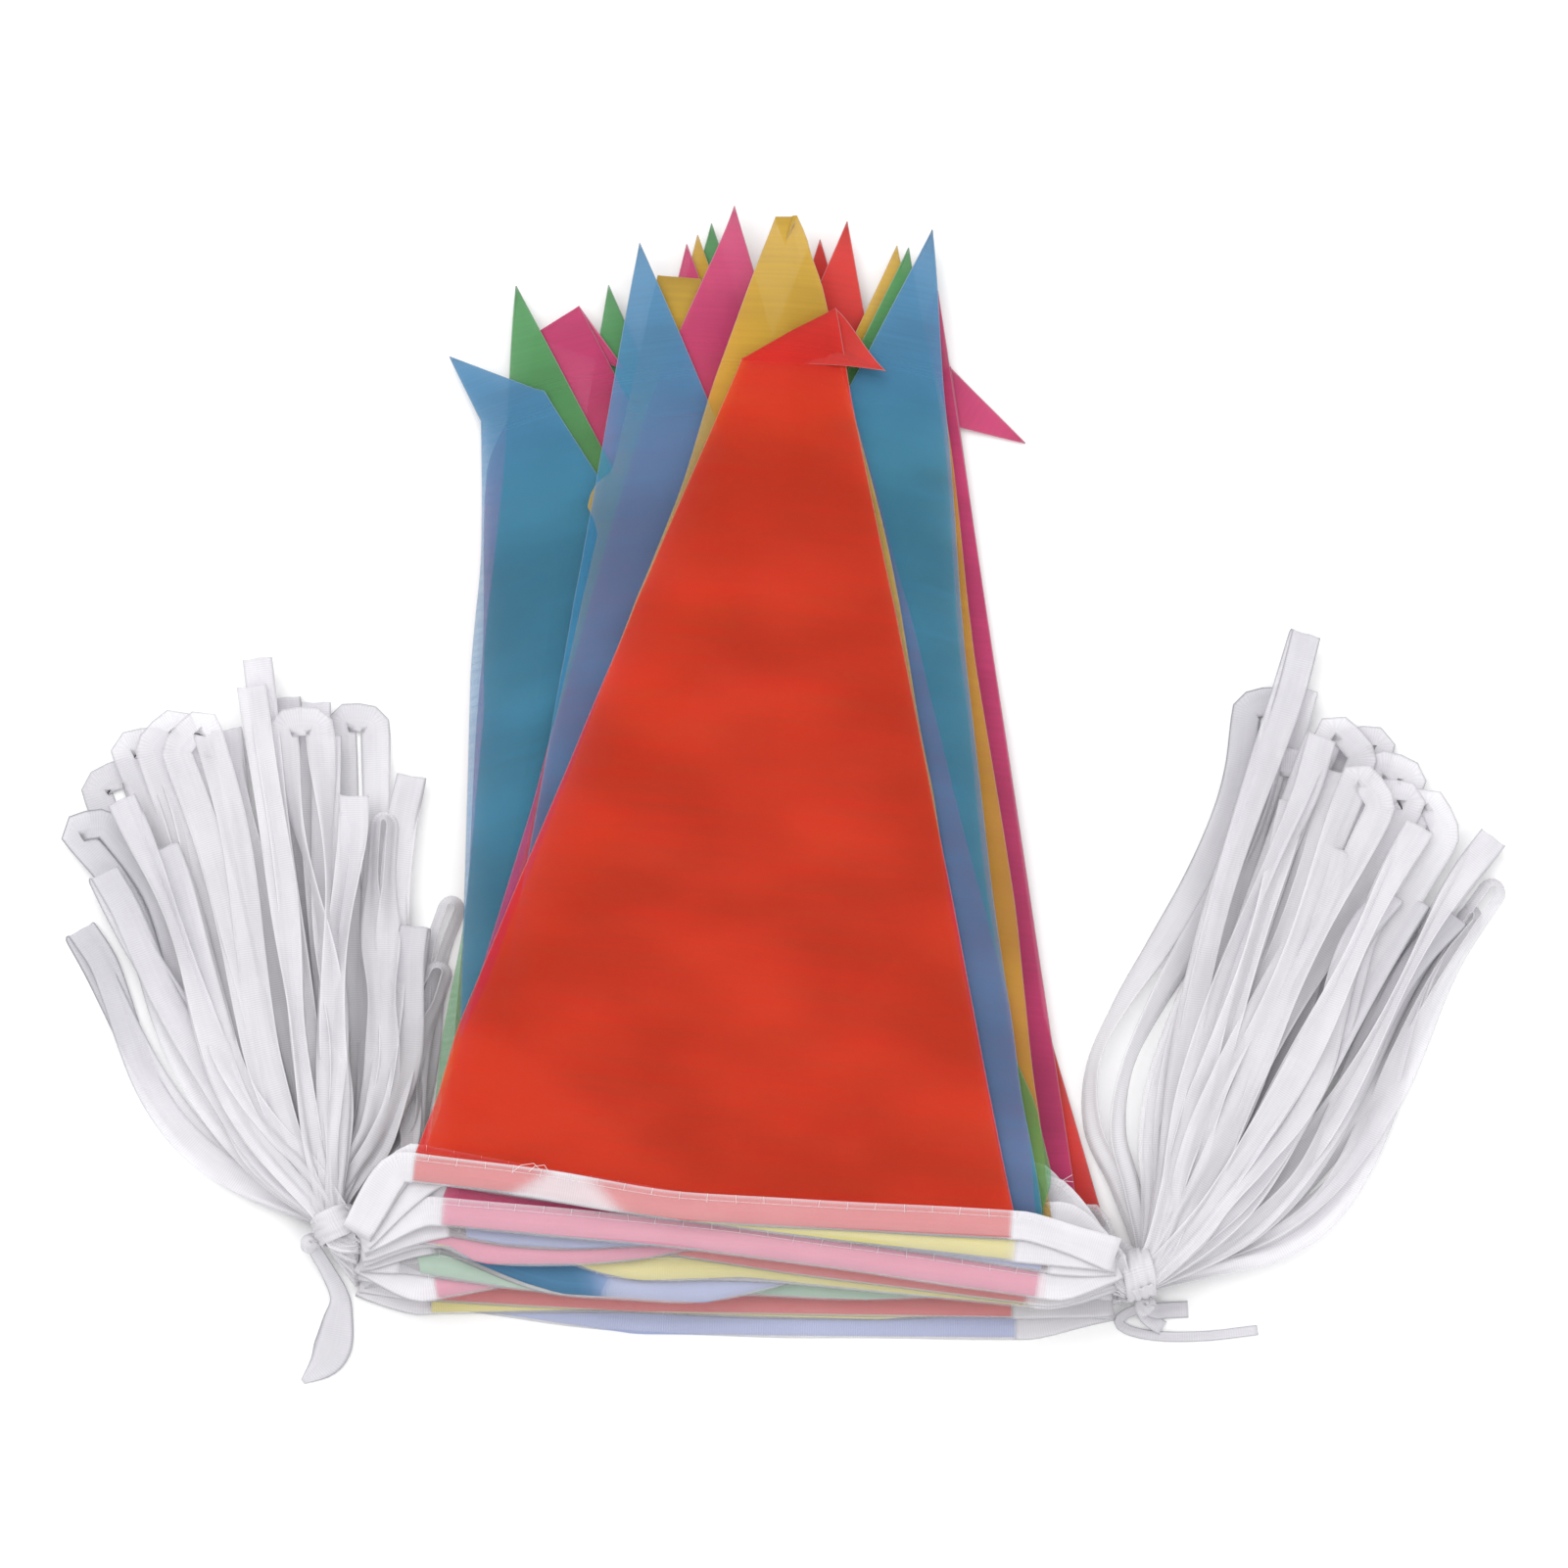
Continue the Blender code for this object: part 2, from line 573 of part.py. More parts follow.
def tie_band(table):
    """The turn of tape round the neck, clear of it by a hair."""
    row_a, row_b = (dict(zip(BODY_COLUMNS, table[k])) for k in (NECK_SECTION, NECK_SECTION + 1))
    start, end = Vector((row_a["x"], row_a["y"])), Vector((row_b["x"], row_b["y"]))
    along = (end - start).normalized()
    middle = (start + end) / 2
    across = Vector((along.y, -along.x))
    rings = []
    for grow in (GAP, GAP + TIE_THICK):
        for shift in (-TIE_WIDE / 2, TIE_WIDE / 2):
            rings.append(section(middle + along * shift, across, row_a["wide"] + 2 * grow,
                                 row_a["low"] - grow, row_a["high"] + 2 * grow, 0.0))
    n = BODY_SIDES
    points = [p for ring in (rings[0], rings[1], rings[3], rings[2]) for p in ring]
    faces = []
    for k in range(4):
        a, b = k * n, ((k + 1) % 4) * n
        faces += [(a + s, a + (s + 1) % n, b + (s + 1) % n, b + s) for s in range(n)]
    return mesh_of(points, faces)


def knot(middle):
    """The pulled-up knot, a small soft lump."""
    shape = bmesh.new()
    bmesh.ops.create_icosphere(shape, subdivisions=2, radius=1.0)
    for vertex in shape.verts:
        vertex.co = middle + Vector(a * b for a, b in zip(vertex.co, KNOT))
    mesh = bpy.data.meshes.new("piece")
    shape.to_mesh(mesh)
    shape.free()
    return mesh


def tail(values):
    """A free end of the tie, lying down to the table."""
    rows = [dict(zip(TAIL_COLUMNS, row)) for row in values]
    middles = [Vector((row["x"], row["y"], row["low"])) for row in rows]
    stations = []
    for k, row in enumerate(rows):
        heading = middles[min(k + 1, len(rows) - 1)] - middles[max(k - 1, 0)]
        across = Vector((heading.y, -heading.x, 0.0)).normalized()
        stations.append((middles[k], across, Vector((0.0, 0.0, 1.0)), row["wide"]))
    return ribbon(stations)


def build_tie(name, table, middle, tails):
    tie = combined(tie_band(table), knot(middle), "UNION")
    for values in tails:
        tie = combined(tie, tail(values), "UNION")
    finish(tie, name, WHITE)


for old in list(bpy.data.objects):
    bpy.data.objects.remove(old)
build_pile()
build_bunch("loops_left", LEFT_BODY, LEFT_LOOPS)
build_bunch("loops_right", RIGHT_BODY, RIGHT_LOOPS)
build_tie("tie_left", LEFT_BODY, LEFT_KNOT, LEFT_TAILS)
build_tie("tie_right", RIGHT_BODY, RIGHT_KNOT, RIGHT_TAILS)
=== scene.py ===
"""Pennant bunting folded up for storage: sheer cloth pennants fanned on a table, the bare tape between
them gathered into two tied bunches of loops. Lengths in the tables are millimetres."""

import math

import bpy
import numpy as np
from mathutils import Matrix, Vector, noise
from mathutils.bvhtree import BVHTree


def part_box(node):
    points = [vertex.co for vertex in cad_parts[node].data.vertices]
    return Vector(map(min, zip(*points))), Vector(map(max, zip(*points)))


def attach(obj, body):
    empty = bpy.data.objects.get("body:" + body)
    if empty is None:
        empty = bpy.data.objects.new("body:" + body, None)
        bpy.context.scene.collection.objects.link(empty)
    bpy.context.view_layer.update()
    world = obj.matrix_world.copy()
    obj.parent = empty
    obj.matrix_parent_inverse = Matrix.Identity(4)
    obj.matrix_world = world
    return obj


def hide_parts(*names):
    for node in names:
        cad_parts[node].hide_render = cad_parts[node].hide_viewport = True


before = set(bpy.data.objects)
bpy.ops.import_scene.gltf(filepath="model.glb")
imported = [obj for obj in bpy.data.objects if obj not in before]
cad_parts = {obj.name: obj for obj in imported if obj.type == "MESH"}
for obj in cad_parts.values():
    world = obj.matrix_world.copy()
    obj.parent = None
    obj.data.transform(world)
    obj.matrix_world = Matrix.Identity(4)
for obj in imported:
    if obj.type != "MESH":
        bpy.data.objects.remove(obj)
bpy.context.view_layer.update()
bpy.ops.object.select_all(action="DESELECT")

# --- table top, light and camera ------------------------------------------------------------------
# The bunting lies on a plain white table under large soft lights, and is seen from almost straight
# above, from the side of the tapes.
MM = 0.001
TABLE_WIDE = 6.0
VIEW_HEIGHT = math.radians(80.0)
VIEW_AWAY = 2.5
VIEW_MIDDLE = Vector((16.65, 60.52, 0.0)) * MM
VIEW_WIDE = 480.3 * MM


class Wire:
    """The output of a node in a material. Arithmetic on wires adds Math nodes."""

    def __init__(self, tree, socket=None):
        self.tree = tree
        self.socket = socket

    def node(self, kind, settings, sockets, output=0):
        """A new node of this kind: its settings first, then the values or wires of its sockets."""
        made = self.tree.nodes.new("ShaderNode" + kind)
        for name, value in settings.items():
            setattr(made, name, value)
        for name, value in sockets.items():
            if isinstance(value, Wire):
                self.tree.links.new(value.socket, made.inputs[name])
            else:
                made.inputs[name].default_value = value
        return Wire(self.tree, made.outputs[output])

    def maths(self, operation, first, second=0.0):
        return self.node("Math", {"operation": operation}, {0: first, 1: second})

    def __add__(self, other):
        return self.maths("ADD", self, other)

    def __sub__(self, other):
        return self.maths("SUBTRACT", self, other)

    def __rsub__(self, other):
        return self.maths("SUBTRACT", other, self)

    def __mul__(self, other):
        return self.maths("MULTIPLY", self, other)

    __radd__ = __add__
    __rmul__ = __mul__

    def wave(self):
        return self.maths("SINE", self)

    def between(self, low, high, new_low=0.0, new_high=1.0):
        """The wire taken from one range to another, and held inside it."""
        sockets = {"Value": self, "From Min": low, "From Max": high, "To Min": new_low, "To Max": new_high}
        return self.node("MapRange", {"interpolation_type": "SMOOTHSTEP"}, sockets)

    def noise(self, place, scale, detail=2.0):
        """Smooth noise at a place, from about 0.3 to 0.7."""
        return self.node("TexNoise", {}, {"Vector": place, "Scale": scale, "Detail": detail})

    def mark(self, name):
        """A value that the mesh has at each of its points."""
        return self.node("Attribute", {"attribute_name": name}, {}, output=2)

    def flat(self):
        """A cloth's own flat coordinates in metres: both together, along it and across it."""
        both = self.node("TexCoord", {}, {}, output=2)
        return (both, *(self.node("SeparateXYZ", {}, {"Vector": both}, output=k) for k in (0, 1)))

    def join(self, x, y):
        return self.node("CombineXYZ", {}, {"X": x, "Y": y})

    def mix(self, share, first, second):
        """Two colours mixed by a share."""
        sides = [side if isinstance(side, Wire) else (*side, 1.0) for side in (first, second)]
        return self.node("Mix", {"data_type": "RGBA"}, {"Factor": share, 6: sides[0], 7: sides[1]}, output=2)


def painted(name, **fixed):
    """(a new material, the wire that adds its nodes, its shader) with the shader's fixed values set."""
    material = bpy.data.materials.new(name)
    material.use_nodes = True
    shader = material.node_tree.nodes["Principled BSDF"]
    for socket, value in fixed.items():
        shader.inputs[socket.replace("_", " ")].default_value = value
    return material, Wire(material.node_tree), shader


def feed(shader, **wires):
    for socket, wire in wires.items():
        wire.tree.links.new(wire.socket, shader.inputs[socket.replace("_", " ")])


table_paint, wire, shader = painted("table_paint", Roughness=0.85, Specular_IOR_Level=0.1)
spot = wire.node("TexCoord", {}, {}, output=3)
cloud = wire.noise(spot, 3.0)
feed(shader, Base_Color=wire.mix(cloud, (0.93, 0.93, 0.935), (0.95, 0.95, 0.95)))

bpy.ops.mesh.primitive_plane_add(size=TABLE_WIDE, location=(0.0, 0.0, 0.0))
table = bpy.context.object
table.name = "table"
table.data.materials.append(table_paint)

LIGHTS = (
    # name, watts, size, x, y, z
    ("softbox_above", 42.0, 2.4, -0.5, 0.7, 2.2),
    ("softbox_front", 16.0, 1.6, 0.8, -1.6, 1.6),
)
for name, watts, size, x, y, z in LIGHTS:
    lamp = bpy.data.lights.new(name, "AREA")
    lamp.energy = watts
    lamp.size = size
    light = bpy.data.objects.new(name, lamp)
    light.location = (x, y, z)
    light.rotation_euler = (VIEW_MIDDLE - light.location).to_track_quat("-Z", "Y").to_euler()
    bpy.context.collection.objects.link(light)
room = bpy.data.worlds.new("room")
room.use_nodes = True
room.node_tree.nodes["Background"].inputs["Color"].default_value = (1.0, 1.0, 1.0, 1.0)
room.node_tree.nodes["Background"].inputs["Strength"].default_value = 0.66
bpy.context.scene.world = room
bpy.context.scene.view_settings.view_transform = "Standard"

lens = bpy.data.cameras.new("camera")
lens.lens = lens.sensor_width * VIEW_AWAY / VIEW_WIDE
camera = bpy.data.objects.new("camera", lens)
camera.location = VIEW_MIDDLE + VIEW_AWAY * Vector((0.0, -math.cos(VIEW_HEIGHT), math.sin(VIEW_HEIGHT)))
camera.rotation_euler = (VIEW_MIDDLE - camera.location).to_track_quat("-Z", "Y").to_euler()
bpy.context.collection.objects.link(camera)
bpy.context.scene.camera = camera

# --- pennants -------------------------------------------------------------------------------------
# Each pennant is one triangle of sheer polyester in plain weave, cut without a hem. They lie one on
# another, the lowest first in the table, and some have their points folded under or creased aside.
PENNANT_WIDE = 180.0
PENNANT_LONG = 311.0
SOLID_THICK = 1.0
CLOTH_THICK = 0.18
IN_TAPE = 8.2
SEAM_FADE = 70.0
PENNANT_COLUMNS = ("name", "cloth", "base_x", "base_y", "turn", "skew", "short")
PENNANTS = (
    ("blue_4", "blue", -2.8, -100.6, 0.5, 0, 0),
    ("yellow_5", "yellow", -1.3, -96.9, -0.5, 0, 3),
    ("red_4", "red", -4.2, -94.1, 0.8, 0, 3),
    ("red_3", "red", 25.1, -79.4, 0.5, 0, 0),
    ("pink_5", "pink", 18.3, -83.7, 8.4, 0, 0),
    ("pink_6", "pink", 20.1, -83.3, 8.4, 0, 9),
    ("green_4", "green", 2.9, -74.3, -1.6, 0, 0),
    ("yellow_4", "yellow", 3.5, -78.3, -2.5, 0, 0),
    ("pink_4", "pink", 2.3, -81.5, -2.9, 0, 0),
    ("green_3", "green", 0.3, -92.3, -7.0, 0, 0),
    ("pink_3", "pink", -0.9, -74.7, -10.5, 0, 0),
    ("green_2", "green", -8.0, -88.8, -10.8, 0, 0),
    ("blue_3", "blue", 3.8, -85.2, -15.1, 0, 0),
    ("yellow_3", "yellow", 2.0, -85.3, 4.5, -44.6, -12),
    ("red_2", "red", 2.4, -75.2, 6.2, 0, -2.5),
    ("pink_2", "pink", -5.2, -71.7, 1.2, 0, -1.5),
    ("blue_2", "blue", 6.8, -81.4, -6.4, 0, 0),
    ("yellow_2", "yellow", 10.0, -78.9, 7.7, 0, 0),
    ("green_1", "green", 7.7, -79.0, 8.8, 0, 0),
    ("pink_1", "pink", 3.6, -77.6, 3.9, 0, 7),
    ("blue_1", "blue", 7.1, -74.7, 10.2, 0, -2.5),
    ("yellow_1", "yellow", -3.8, -70.6, 5.1, -7, -4.5),
    ("red_1", "red", -4.3, -65.7, 5.4, 0, 16.5),
)
# Points folded under, and points creased aside: how far from the point the line crosses the left and
# the right edge. A creased point also has the place where it comes to lie.
FOLDED_UNDER = {
    "red_1": (44.6, 24.2),
    "yellow_1": (10.0, 10.0),
    "yellow_3": (24.0, 26.0),
    "pink_3": (31.0, 25.0),
    "pink_5": (50.0, 33.5),
}
CREASED = {"blue_3": (42.0, 39.0, -86.9, 194.0)}
# Seams that aren't straight: at shares of the way from the left end, how far up towards the point.
SEAM_BENDS = {
    "blue_4": ((0, 8.7), (0.36, 0), (1, 0)),
    "yellow_5": ((0, 3.7), (0.27, 4.2), (0.5, 2.1), (0.76, 0.5), (1, 3.1)),
    "red_4": ((0, 2.9), (0.36, 0), (1, 0)),
    "pink_5": ((0, 0), (0.65, 1.6), (0.83, 9.9), (1, 25.0)),
    "pink_6": ((0, 0), (0.65, 1.0), (0.83, 9.3), (1, 24.4)),
    "green_3": ((0, 22.7), (0.2, 12.5), (0.52, 2.3), (0.72, -4.0), (1, -7.2)),
    "green_2": ((0, 21.1), (0.19, 10.3), (0.34, 3.8), (0.5, -0.9), (1, 0)),
    "blue_3": ((0, 28.4), (0.11, 16.4), (0.18, 9.7), (0.29, 3.5), (0.42, -4.3), (0.58, -5.0), (1, -1.8)),
    "yellow_3": ((0, 2.4), (0.19, 2.9), (0.27, -1.6), (0.34, -3.3), (0.52, 0.3), (1, -1.6)),
    "red_2": ((0, -3.2), (0.25, -3.9), (0.58, -7.0), (1, -8.2)),
    "pink_2": ((0, -4.6), (0.07, -6.0), (0.13, -11.5), (0.3, -10.6), (0.4, -8.4), (0.5, -3.8), (1, -1.7)),
    "blue_2": ((0, 17.2), (0.07, 13.8), (0.2, 10.0), (0.4, 8.1), (1, 0)),
    "green_1": ((0, 1.2), (0.48, 1.1), (1, 5.9)),
    "pink_1": ((0, 1.1), (0.25, 0), (0.41, -0.7), (0.67, -3.7), (1, -8.5)),
    "blue_1": ((0, 0.3), (0.29, 1.3), (0.48, 3.8), (1, 6.0)),
    "yellow_1": ((0, 7.7), (0.19, 4.5), (0.45, 0.4), (0.71, -1.4), (1, -2.7)),
    "red_1": ((0, -0.3), (0.2, -1.2), (0.36, -3.7), (0.46, -4.7), (0.7, -2.9), (1, -0.7)),
}
STRAIGHT = ((0.0, 0.0), (1.0, 0.0))
# Edges that aren't straight: how far down from the point, and how far out of the straight there.
EDGE_BENDS = {
    ("green_2", "left"): ((63, -2.1), (113, -1.8), (140, -3.9), (198, -4.4), (243, -1.4)),
    ("yellow_3", "left"): ((86, 0), (94, 5.0), (100, 5.0), (106, 0)),
    ("pink_3", "left"): ((40, 0), (75, 10.0), (140, 5.0), (220, 1.5), (290, 0)),
    ("pink_2", "left"): ((78, 5.8), (173, 3.3), (205, 2.0), (240, 1.5)),
    ("pink_1", "right"): ((90, 3.5), (135, 5.1), (178, 5.4), (243, 7.0), (280, 4.0)),
    ("yellow_1", "left"): ((62, -0.5), (105, -2.6), (160, -1.5), (262, 0), (300, 3.0)),
    ("yellow_1", "right"): ((20, 3.0), (36, 4.3), (120, 6.6), (190, 4.0), (240, 1.0)),
    ("blue_3", "left"): ((82, -2.3), (125, -0.1)),
    ("yellow_2", "right"): ((59, 6.6), (143, 3.7), (205, 4.0), (273, 1.2)),
    ("green_1", "right"): ((57, 2.7), (141, -1.6), (203, -3.5), (252, -2.4), (278, 2.8), (297, 4.2)),
    ("blue_1", "right"): ((60, -2.2), (144, -4.5), (206, -4.5), (266, -2.5)),
    ("red_1", "left"): ((45, 3.0), (100, 3.6), (206, 3.5), (264, 3.2), (295, 0.4)),
    ("red_1", "right"): ((24, 4.5), (60, 3.2), (108, 2.8)),
}
# Each cloth's colour in the open, its colour between the layers of white tape, where light comes back
# at it, and how much of the light its threads stop.
CLOTH_COLOURS = {
    "red": ((0.67, 0.018, 0.010), (0.64, 0.085, 0.08), 0.47),
    "yellow": ((0.62, 0.38, 0.025), (0.74, 0.66, 0.18), 0.36),
    "pink": ((0.60, 0.040, 0.165), (0.72, 0.21, 0.33), 0.38),
    "blue": ((0.056, 0.245, 0.45), (0.36, 0.41, 0.64), 0.35),
    "green": ((0.062, 0.30, 0.090), (0.36, 0.55, 0.40), 0.38),
}
# The lowest cloths are pressed flat under the pile: they cover more, and are painted greyer as shade.
LOWEST = 7
LOWEST_SHUT_AND_SHADE = 0.7
# Where a tape has slipped behind its cloth, as a share of the pennant's width from the left.
BEHIND = {"blue_3": 0.30}
SLIP_SOFT = 0.07
SLIP_LONG = 20.0
# Ripples that run across the whole pile: how far up the table, how wide and how high. Each cloth has
# broad and fine creases of its own too, and all of them fade towards its seam.
WAVES = ((112.0, 5.0, 1.6), (96.0, 9.0, -0.6), (20.0, 9.0, 0.6))
WAVE_HIGH = 1.1
BROAD_HIGH = 0.42
FINE_HIGH = 0.2
CALM_AT_SEAM = 24.0
# A grid cell's length, the strip along a cut edge that the hot knife melts, and the blunt end of a point.
CELL = 4.0
EDGE_STRIP = 0.55
POINT_OFF = 0.5
# How much of a folded point there is, how far its fold rounds out, and how high a crease stands.
FLAP_REACH = 0.985
FOLD_BEAD = 0.35
CREASE_RISE = 0.9
# The cloth is crumpled and covers more this far from its point, more and more over the second length,
# and is painted greyer there as shade.
CRUMPLED_FROM = 75.0
CRUMPLED_OVER = 60.0
# The weave: metres from thread to thread, its noises to the metre along and across the cloth, and the
# grey painted on as shade where the weave is shut.
THREAD = 0.00052
SLUBS = (18.0, 700.0)
PATCHES = (14.0, 26.0)
CRUMPLES = (30.0, 130.0)
PAINTED_SHADE_GREY = (0.22, 0.18, 0.18)


def unit(v):
    return v / np.hypot(*v)


def lerp(a, b, share):
    return a + (b - a) * share


def smooth(t):
    t = np.clip(t, 0.0, 1.0)
    return t * t * (3 - 2 * t)


def cloth_paint(name, colour, in_tape, stops):
    """Sheer plain weave. The gaps between its threads let what lies under it show through, less so
    where the cloth is crumpled towards its point, pressed flat under the pile or in its tape. Towards its
    point, under the pile and where its tape has slipped behind it, it is also painted greyer as shade."""
    material, wire, shader = painted(
        name, Roughness=0.7, Specular_IOR_Level=0.15, Sheen_Weight=0.08, Sheen_Roughness=0.5)
    flat, x, y = wire.flat()
    drift = wire.noise(flat, 60.0, detail=1.0) * 9.0
    warp = (x * (2 * math.pi / THREAD) + drift).wave()
    weft = (y * (2 * math.pi / THREAD) + drift).wave()
    weave = warp * weft
    slubs, patches = (wire.noise(wire.join(x * along, y * across), 1.0) for along, across in (SLUBS, PATCHES))
    crumple = wire.noise(wire.join(x * CRUMPLES[0], y * CRUMPLES[1]), 1.0, detail=3.0)
    cut, shut_and_shade, taped = (wire.mark(name) for name in ("cut", "shut_and_shade", "taped"))
    taped = taped * y.between(0.0, 0.0004, 1.0, 0.0)
    dark = tuple(0.84 * c for c in colour)
    light = tuple(min(1.0, 1.10 * c + 0.003) for c in colour)
    pale = tuple(0.45 + 0.5 * c for c in colour)
    tone = slubs * 0.15 + patches * 0.85
    body = wire.mix(tone.between(0.36, 0.64), dark, light)
    # Painted shade: grey mixed in where the weave is shut, towards the point, under the pile and where the
    # tape slipped.
    body = wire.mix(shut_and_shade * 0.18, body, PAINTED_SHADE_GREY)
    body = wire.mix(taped, body, in_tape)
    threads = slubs.between(0.3, 0.7, stops - 0.02, stops + 0.02)
    feed(shader,
         Base_Color=wire.mix(cut.between(0.35, 0.9) * 0.45, body, pale),
         Roughness=slubs.between(0.3, 0.7, 0.62, 0.8),
         Alpha=threads + shut_and_shade * 0.4 + taped * 0.4 - weave * 0.015,
         Normal=wire.node("Bump", {}, {"Strength": 0.2, "Distance": 0.0001,
                                       "Height": weave * 0.4 + slubs * 2.0 + crumple * 14.0}))
    return material


cloths = {name: cloth_paint(name + "_cloth_paint", *colours) for name, colours in CLOTH_COLOURS.items()}


def solid_of(node):
    """A node's faces and the height of its middle, to find how high a piece lies."""
    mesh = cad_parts[node].data
    faces = [list(face.vertices) for face in mesh.polygons]
    low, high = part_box(node)
    return BVHTree.FromPolygons([vertex.co.copy() for vertex in mesh.vertices], faces), (low.z + high.z) / 2


def lying(solid, plan, side=1.0):
    """The height of the middle of the solid's sheet over a plan of places, softened over its creases."""
    tree, middle = solid
    heights = np.empty(plan.shape[:2])
    for at in np.ndindex(heights.shape):
        x, y = plan[at] * MM
        hit = tree.ray_cast(Vector((x, y, side)), Vector((0.0, 0.0, -side)))[0]
        if hit is None:
            hit = tree.find_nearest(Vector((x, y, middle)))[0]
            heights[at] = hit.z / MM
        else:
            heights[at] = hit.z / MM - side * SOLID_THICK / 2
    for _ in range(5):
        for axis in (0, 1):
            if heights.shape[axis] > 2:
                padded = np.concatenate((heights.take([0], axis), heights, heights.take([-1], axis)), axis)
                n = padded.shape[axis]
                heights = (padded.take(range(n - 2), axis) + 2 * heights + padded.take(range(2, n), axis)) / 4
    return heights


def bend(name, side, down):
    """How far an edge runs out of the straight, at a distance down from the point."""
    bends = ((0.0, 0.0), *EDGE_BENDS.get((name, side), ()), (PENNANT_LONG, 0.0))
    share = np.interp(down, [place for place, _ in bends], range(len(bends)))
    low = min(int(share), len(bends) - 2)
    return lerp(bends[low][1], bends[low + 1][1], smooth(share - low))


def cloth_piece(name, grids, material, thick, nodes):
    """Thin closed sheets over grids of points. A grid is its points, their flat coordinates in
    millimetres, which become a UV map in metres, and named values for the material."""
    points, flats, quads, marks, first = [], [], [], {}, 0
    for grid, flat, values in grids:
        rows, columns = grid.shape[:2]
        number = first + np.arange(rows * columns).reshape(rows, columns)
        around = (number[:-1, :-1], number[:-1, 1:], number[1:, 1:], number[1:, :-1])
        quads.append(np.stack(around, -1).reshape(-1, 4))
        points.append(grid.reshape(-1, 3))
        flats.append(flat.reshape(-1, 2))
        for key, value in values.items():
            marks.setdefault(key, []).append(np.broadcast_to(value, (rows, columns)).reshape(-1))
        first += rows * columns
    quads, flats = np.concatenate(quads), np.concatenate(flats)
    mesh = bpy.data.meshes.new(name)
    mesh.from_pydata((np.concatenate(points) * MM).tolist(), [], quads.tolist())
    uv = mesh.uv_layers.new(name="flat").data
    uv.foreach_set("uv", (flats[quads.reshape(-1)] * MM).astype(np.float32).reshape(-1))
    for key, values in marks.items():
        layer = mesh.attributes.new(key, "FLOAT", "POINT").data
        layer.foreach_set("value", np.concatenate(values).astype(np.float32))
    mesh.materials.append(material)
    piece = bpy.data.objects.new(name, mesh)
    bpy.context.collection.objects.link(piece)
    bpy.context.view_layer.objects.active = piece
    walls = piece.modifiers.new("Thickness", "SOLIDIFY")
    walls.thickness = thick * MM
    walls.offset = 0.0
    bpy.ops.object.modifier_apply(modifier=walls.name)
    piece.data.shade_smooth()
    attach(piece, "root")
    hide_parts(*nodes)
    return piece


def corners(row):
    """A pennant's seam ends, its point if unfolded, and the ways across it and up it."""
    turn = math.radians(row["turn"])
    across = np.array((math.cos(turn), -math.sin(turn)))
    up = np.array((math.sin(turn), math.cos(turn)))
    middle = np.array((row["base_x"], row["base_y"]))
    point = middle + up * (PENNANT_LONG - row["short"]) + across * row["skew"]
    return middle - across * PENNANT_WIDE / 2, middle + across * PENNANT_WIDE / 2, point, across, up


def seam_lift(row, shares):
    """How far the seam lies from the straight line between its ends, at shares of its length."""
    left, right, point = corners(row)[:3]
    bends = np.array(SEAM_BENDS.get(row["name"], STRAIGHT), float)
    raised = np.interp(shares, bends[:, 0], bends[:, 1])[:, None]
    straight = left + (right - left) * shares[:, None]
    return (point - straight) * raised / np.hypot(*(point - (left + right) / 2))


def wrinkles(row, flat, body):
    """Soft creases and ripples, as heights in millimetres: the whole pile's, and this cloth's own."""
    seed = 7.3 * PENNANTS.index(tuple(row.values()))
    heights = np.empty(flat.shape[:2])
    for at in np.ndindex(heights.shape):
        x, y = flat[at]
        broad = noise.noise(Vector((x / 60, y / 22, seed)))
        fine = noise.noise(Vector((x / 18, y / 9, seed + 50)))
        heights[at] = BROAD_HIGH * broad + FINE_HIGH * fine
        x, y, high = body[at]
        pile = noise.noise(Vector((x / 95, y / 21 + x / 160, 3.7)))
        for place, width, rise in WAVES:
            pile += rise * math.exp(-(((y + 0.04 * x - place) / width) ** 2))
        heights[at] += WAVE_HIGH * pile * min(1.0, max(0.0, high - 1.0) / 14.0)
    return heights * smooth((flat[..., 1] - 1.0) / CALM_AT_SEAM)


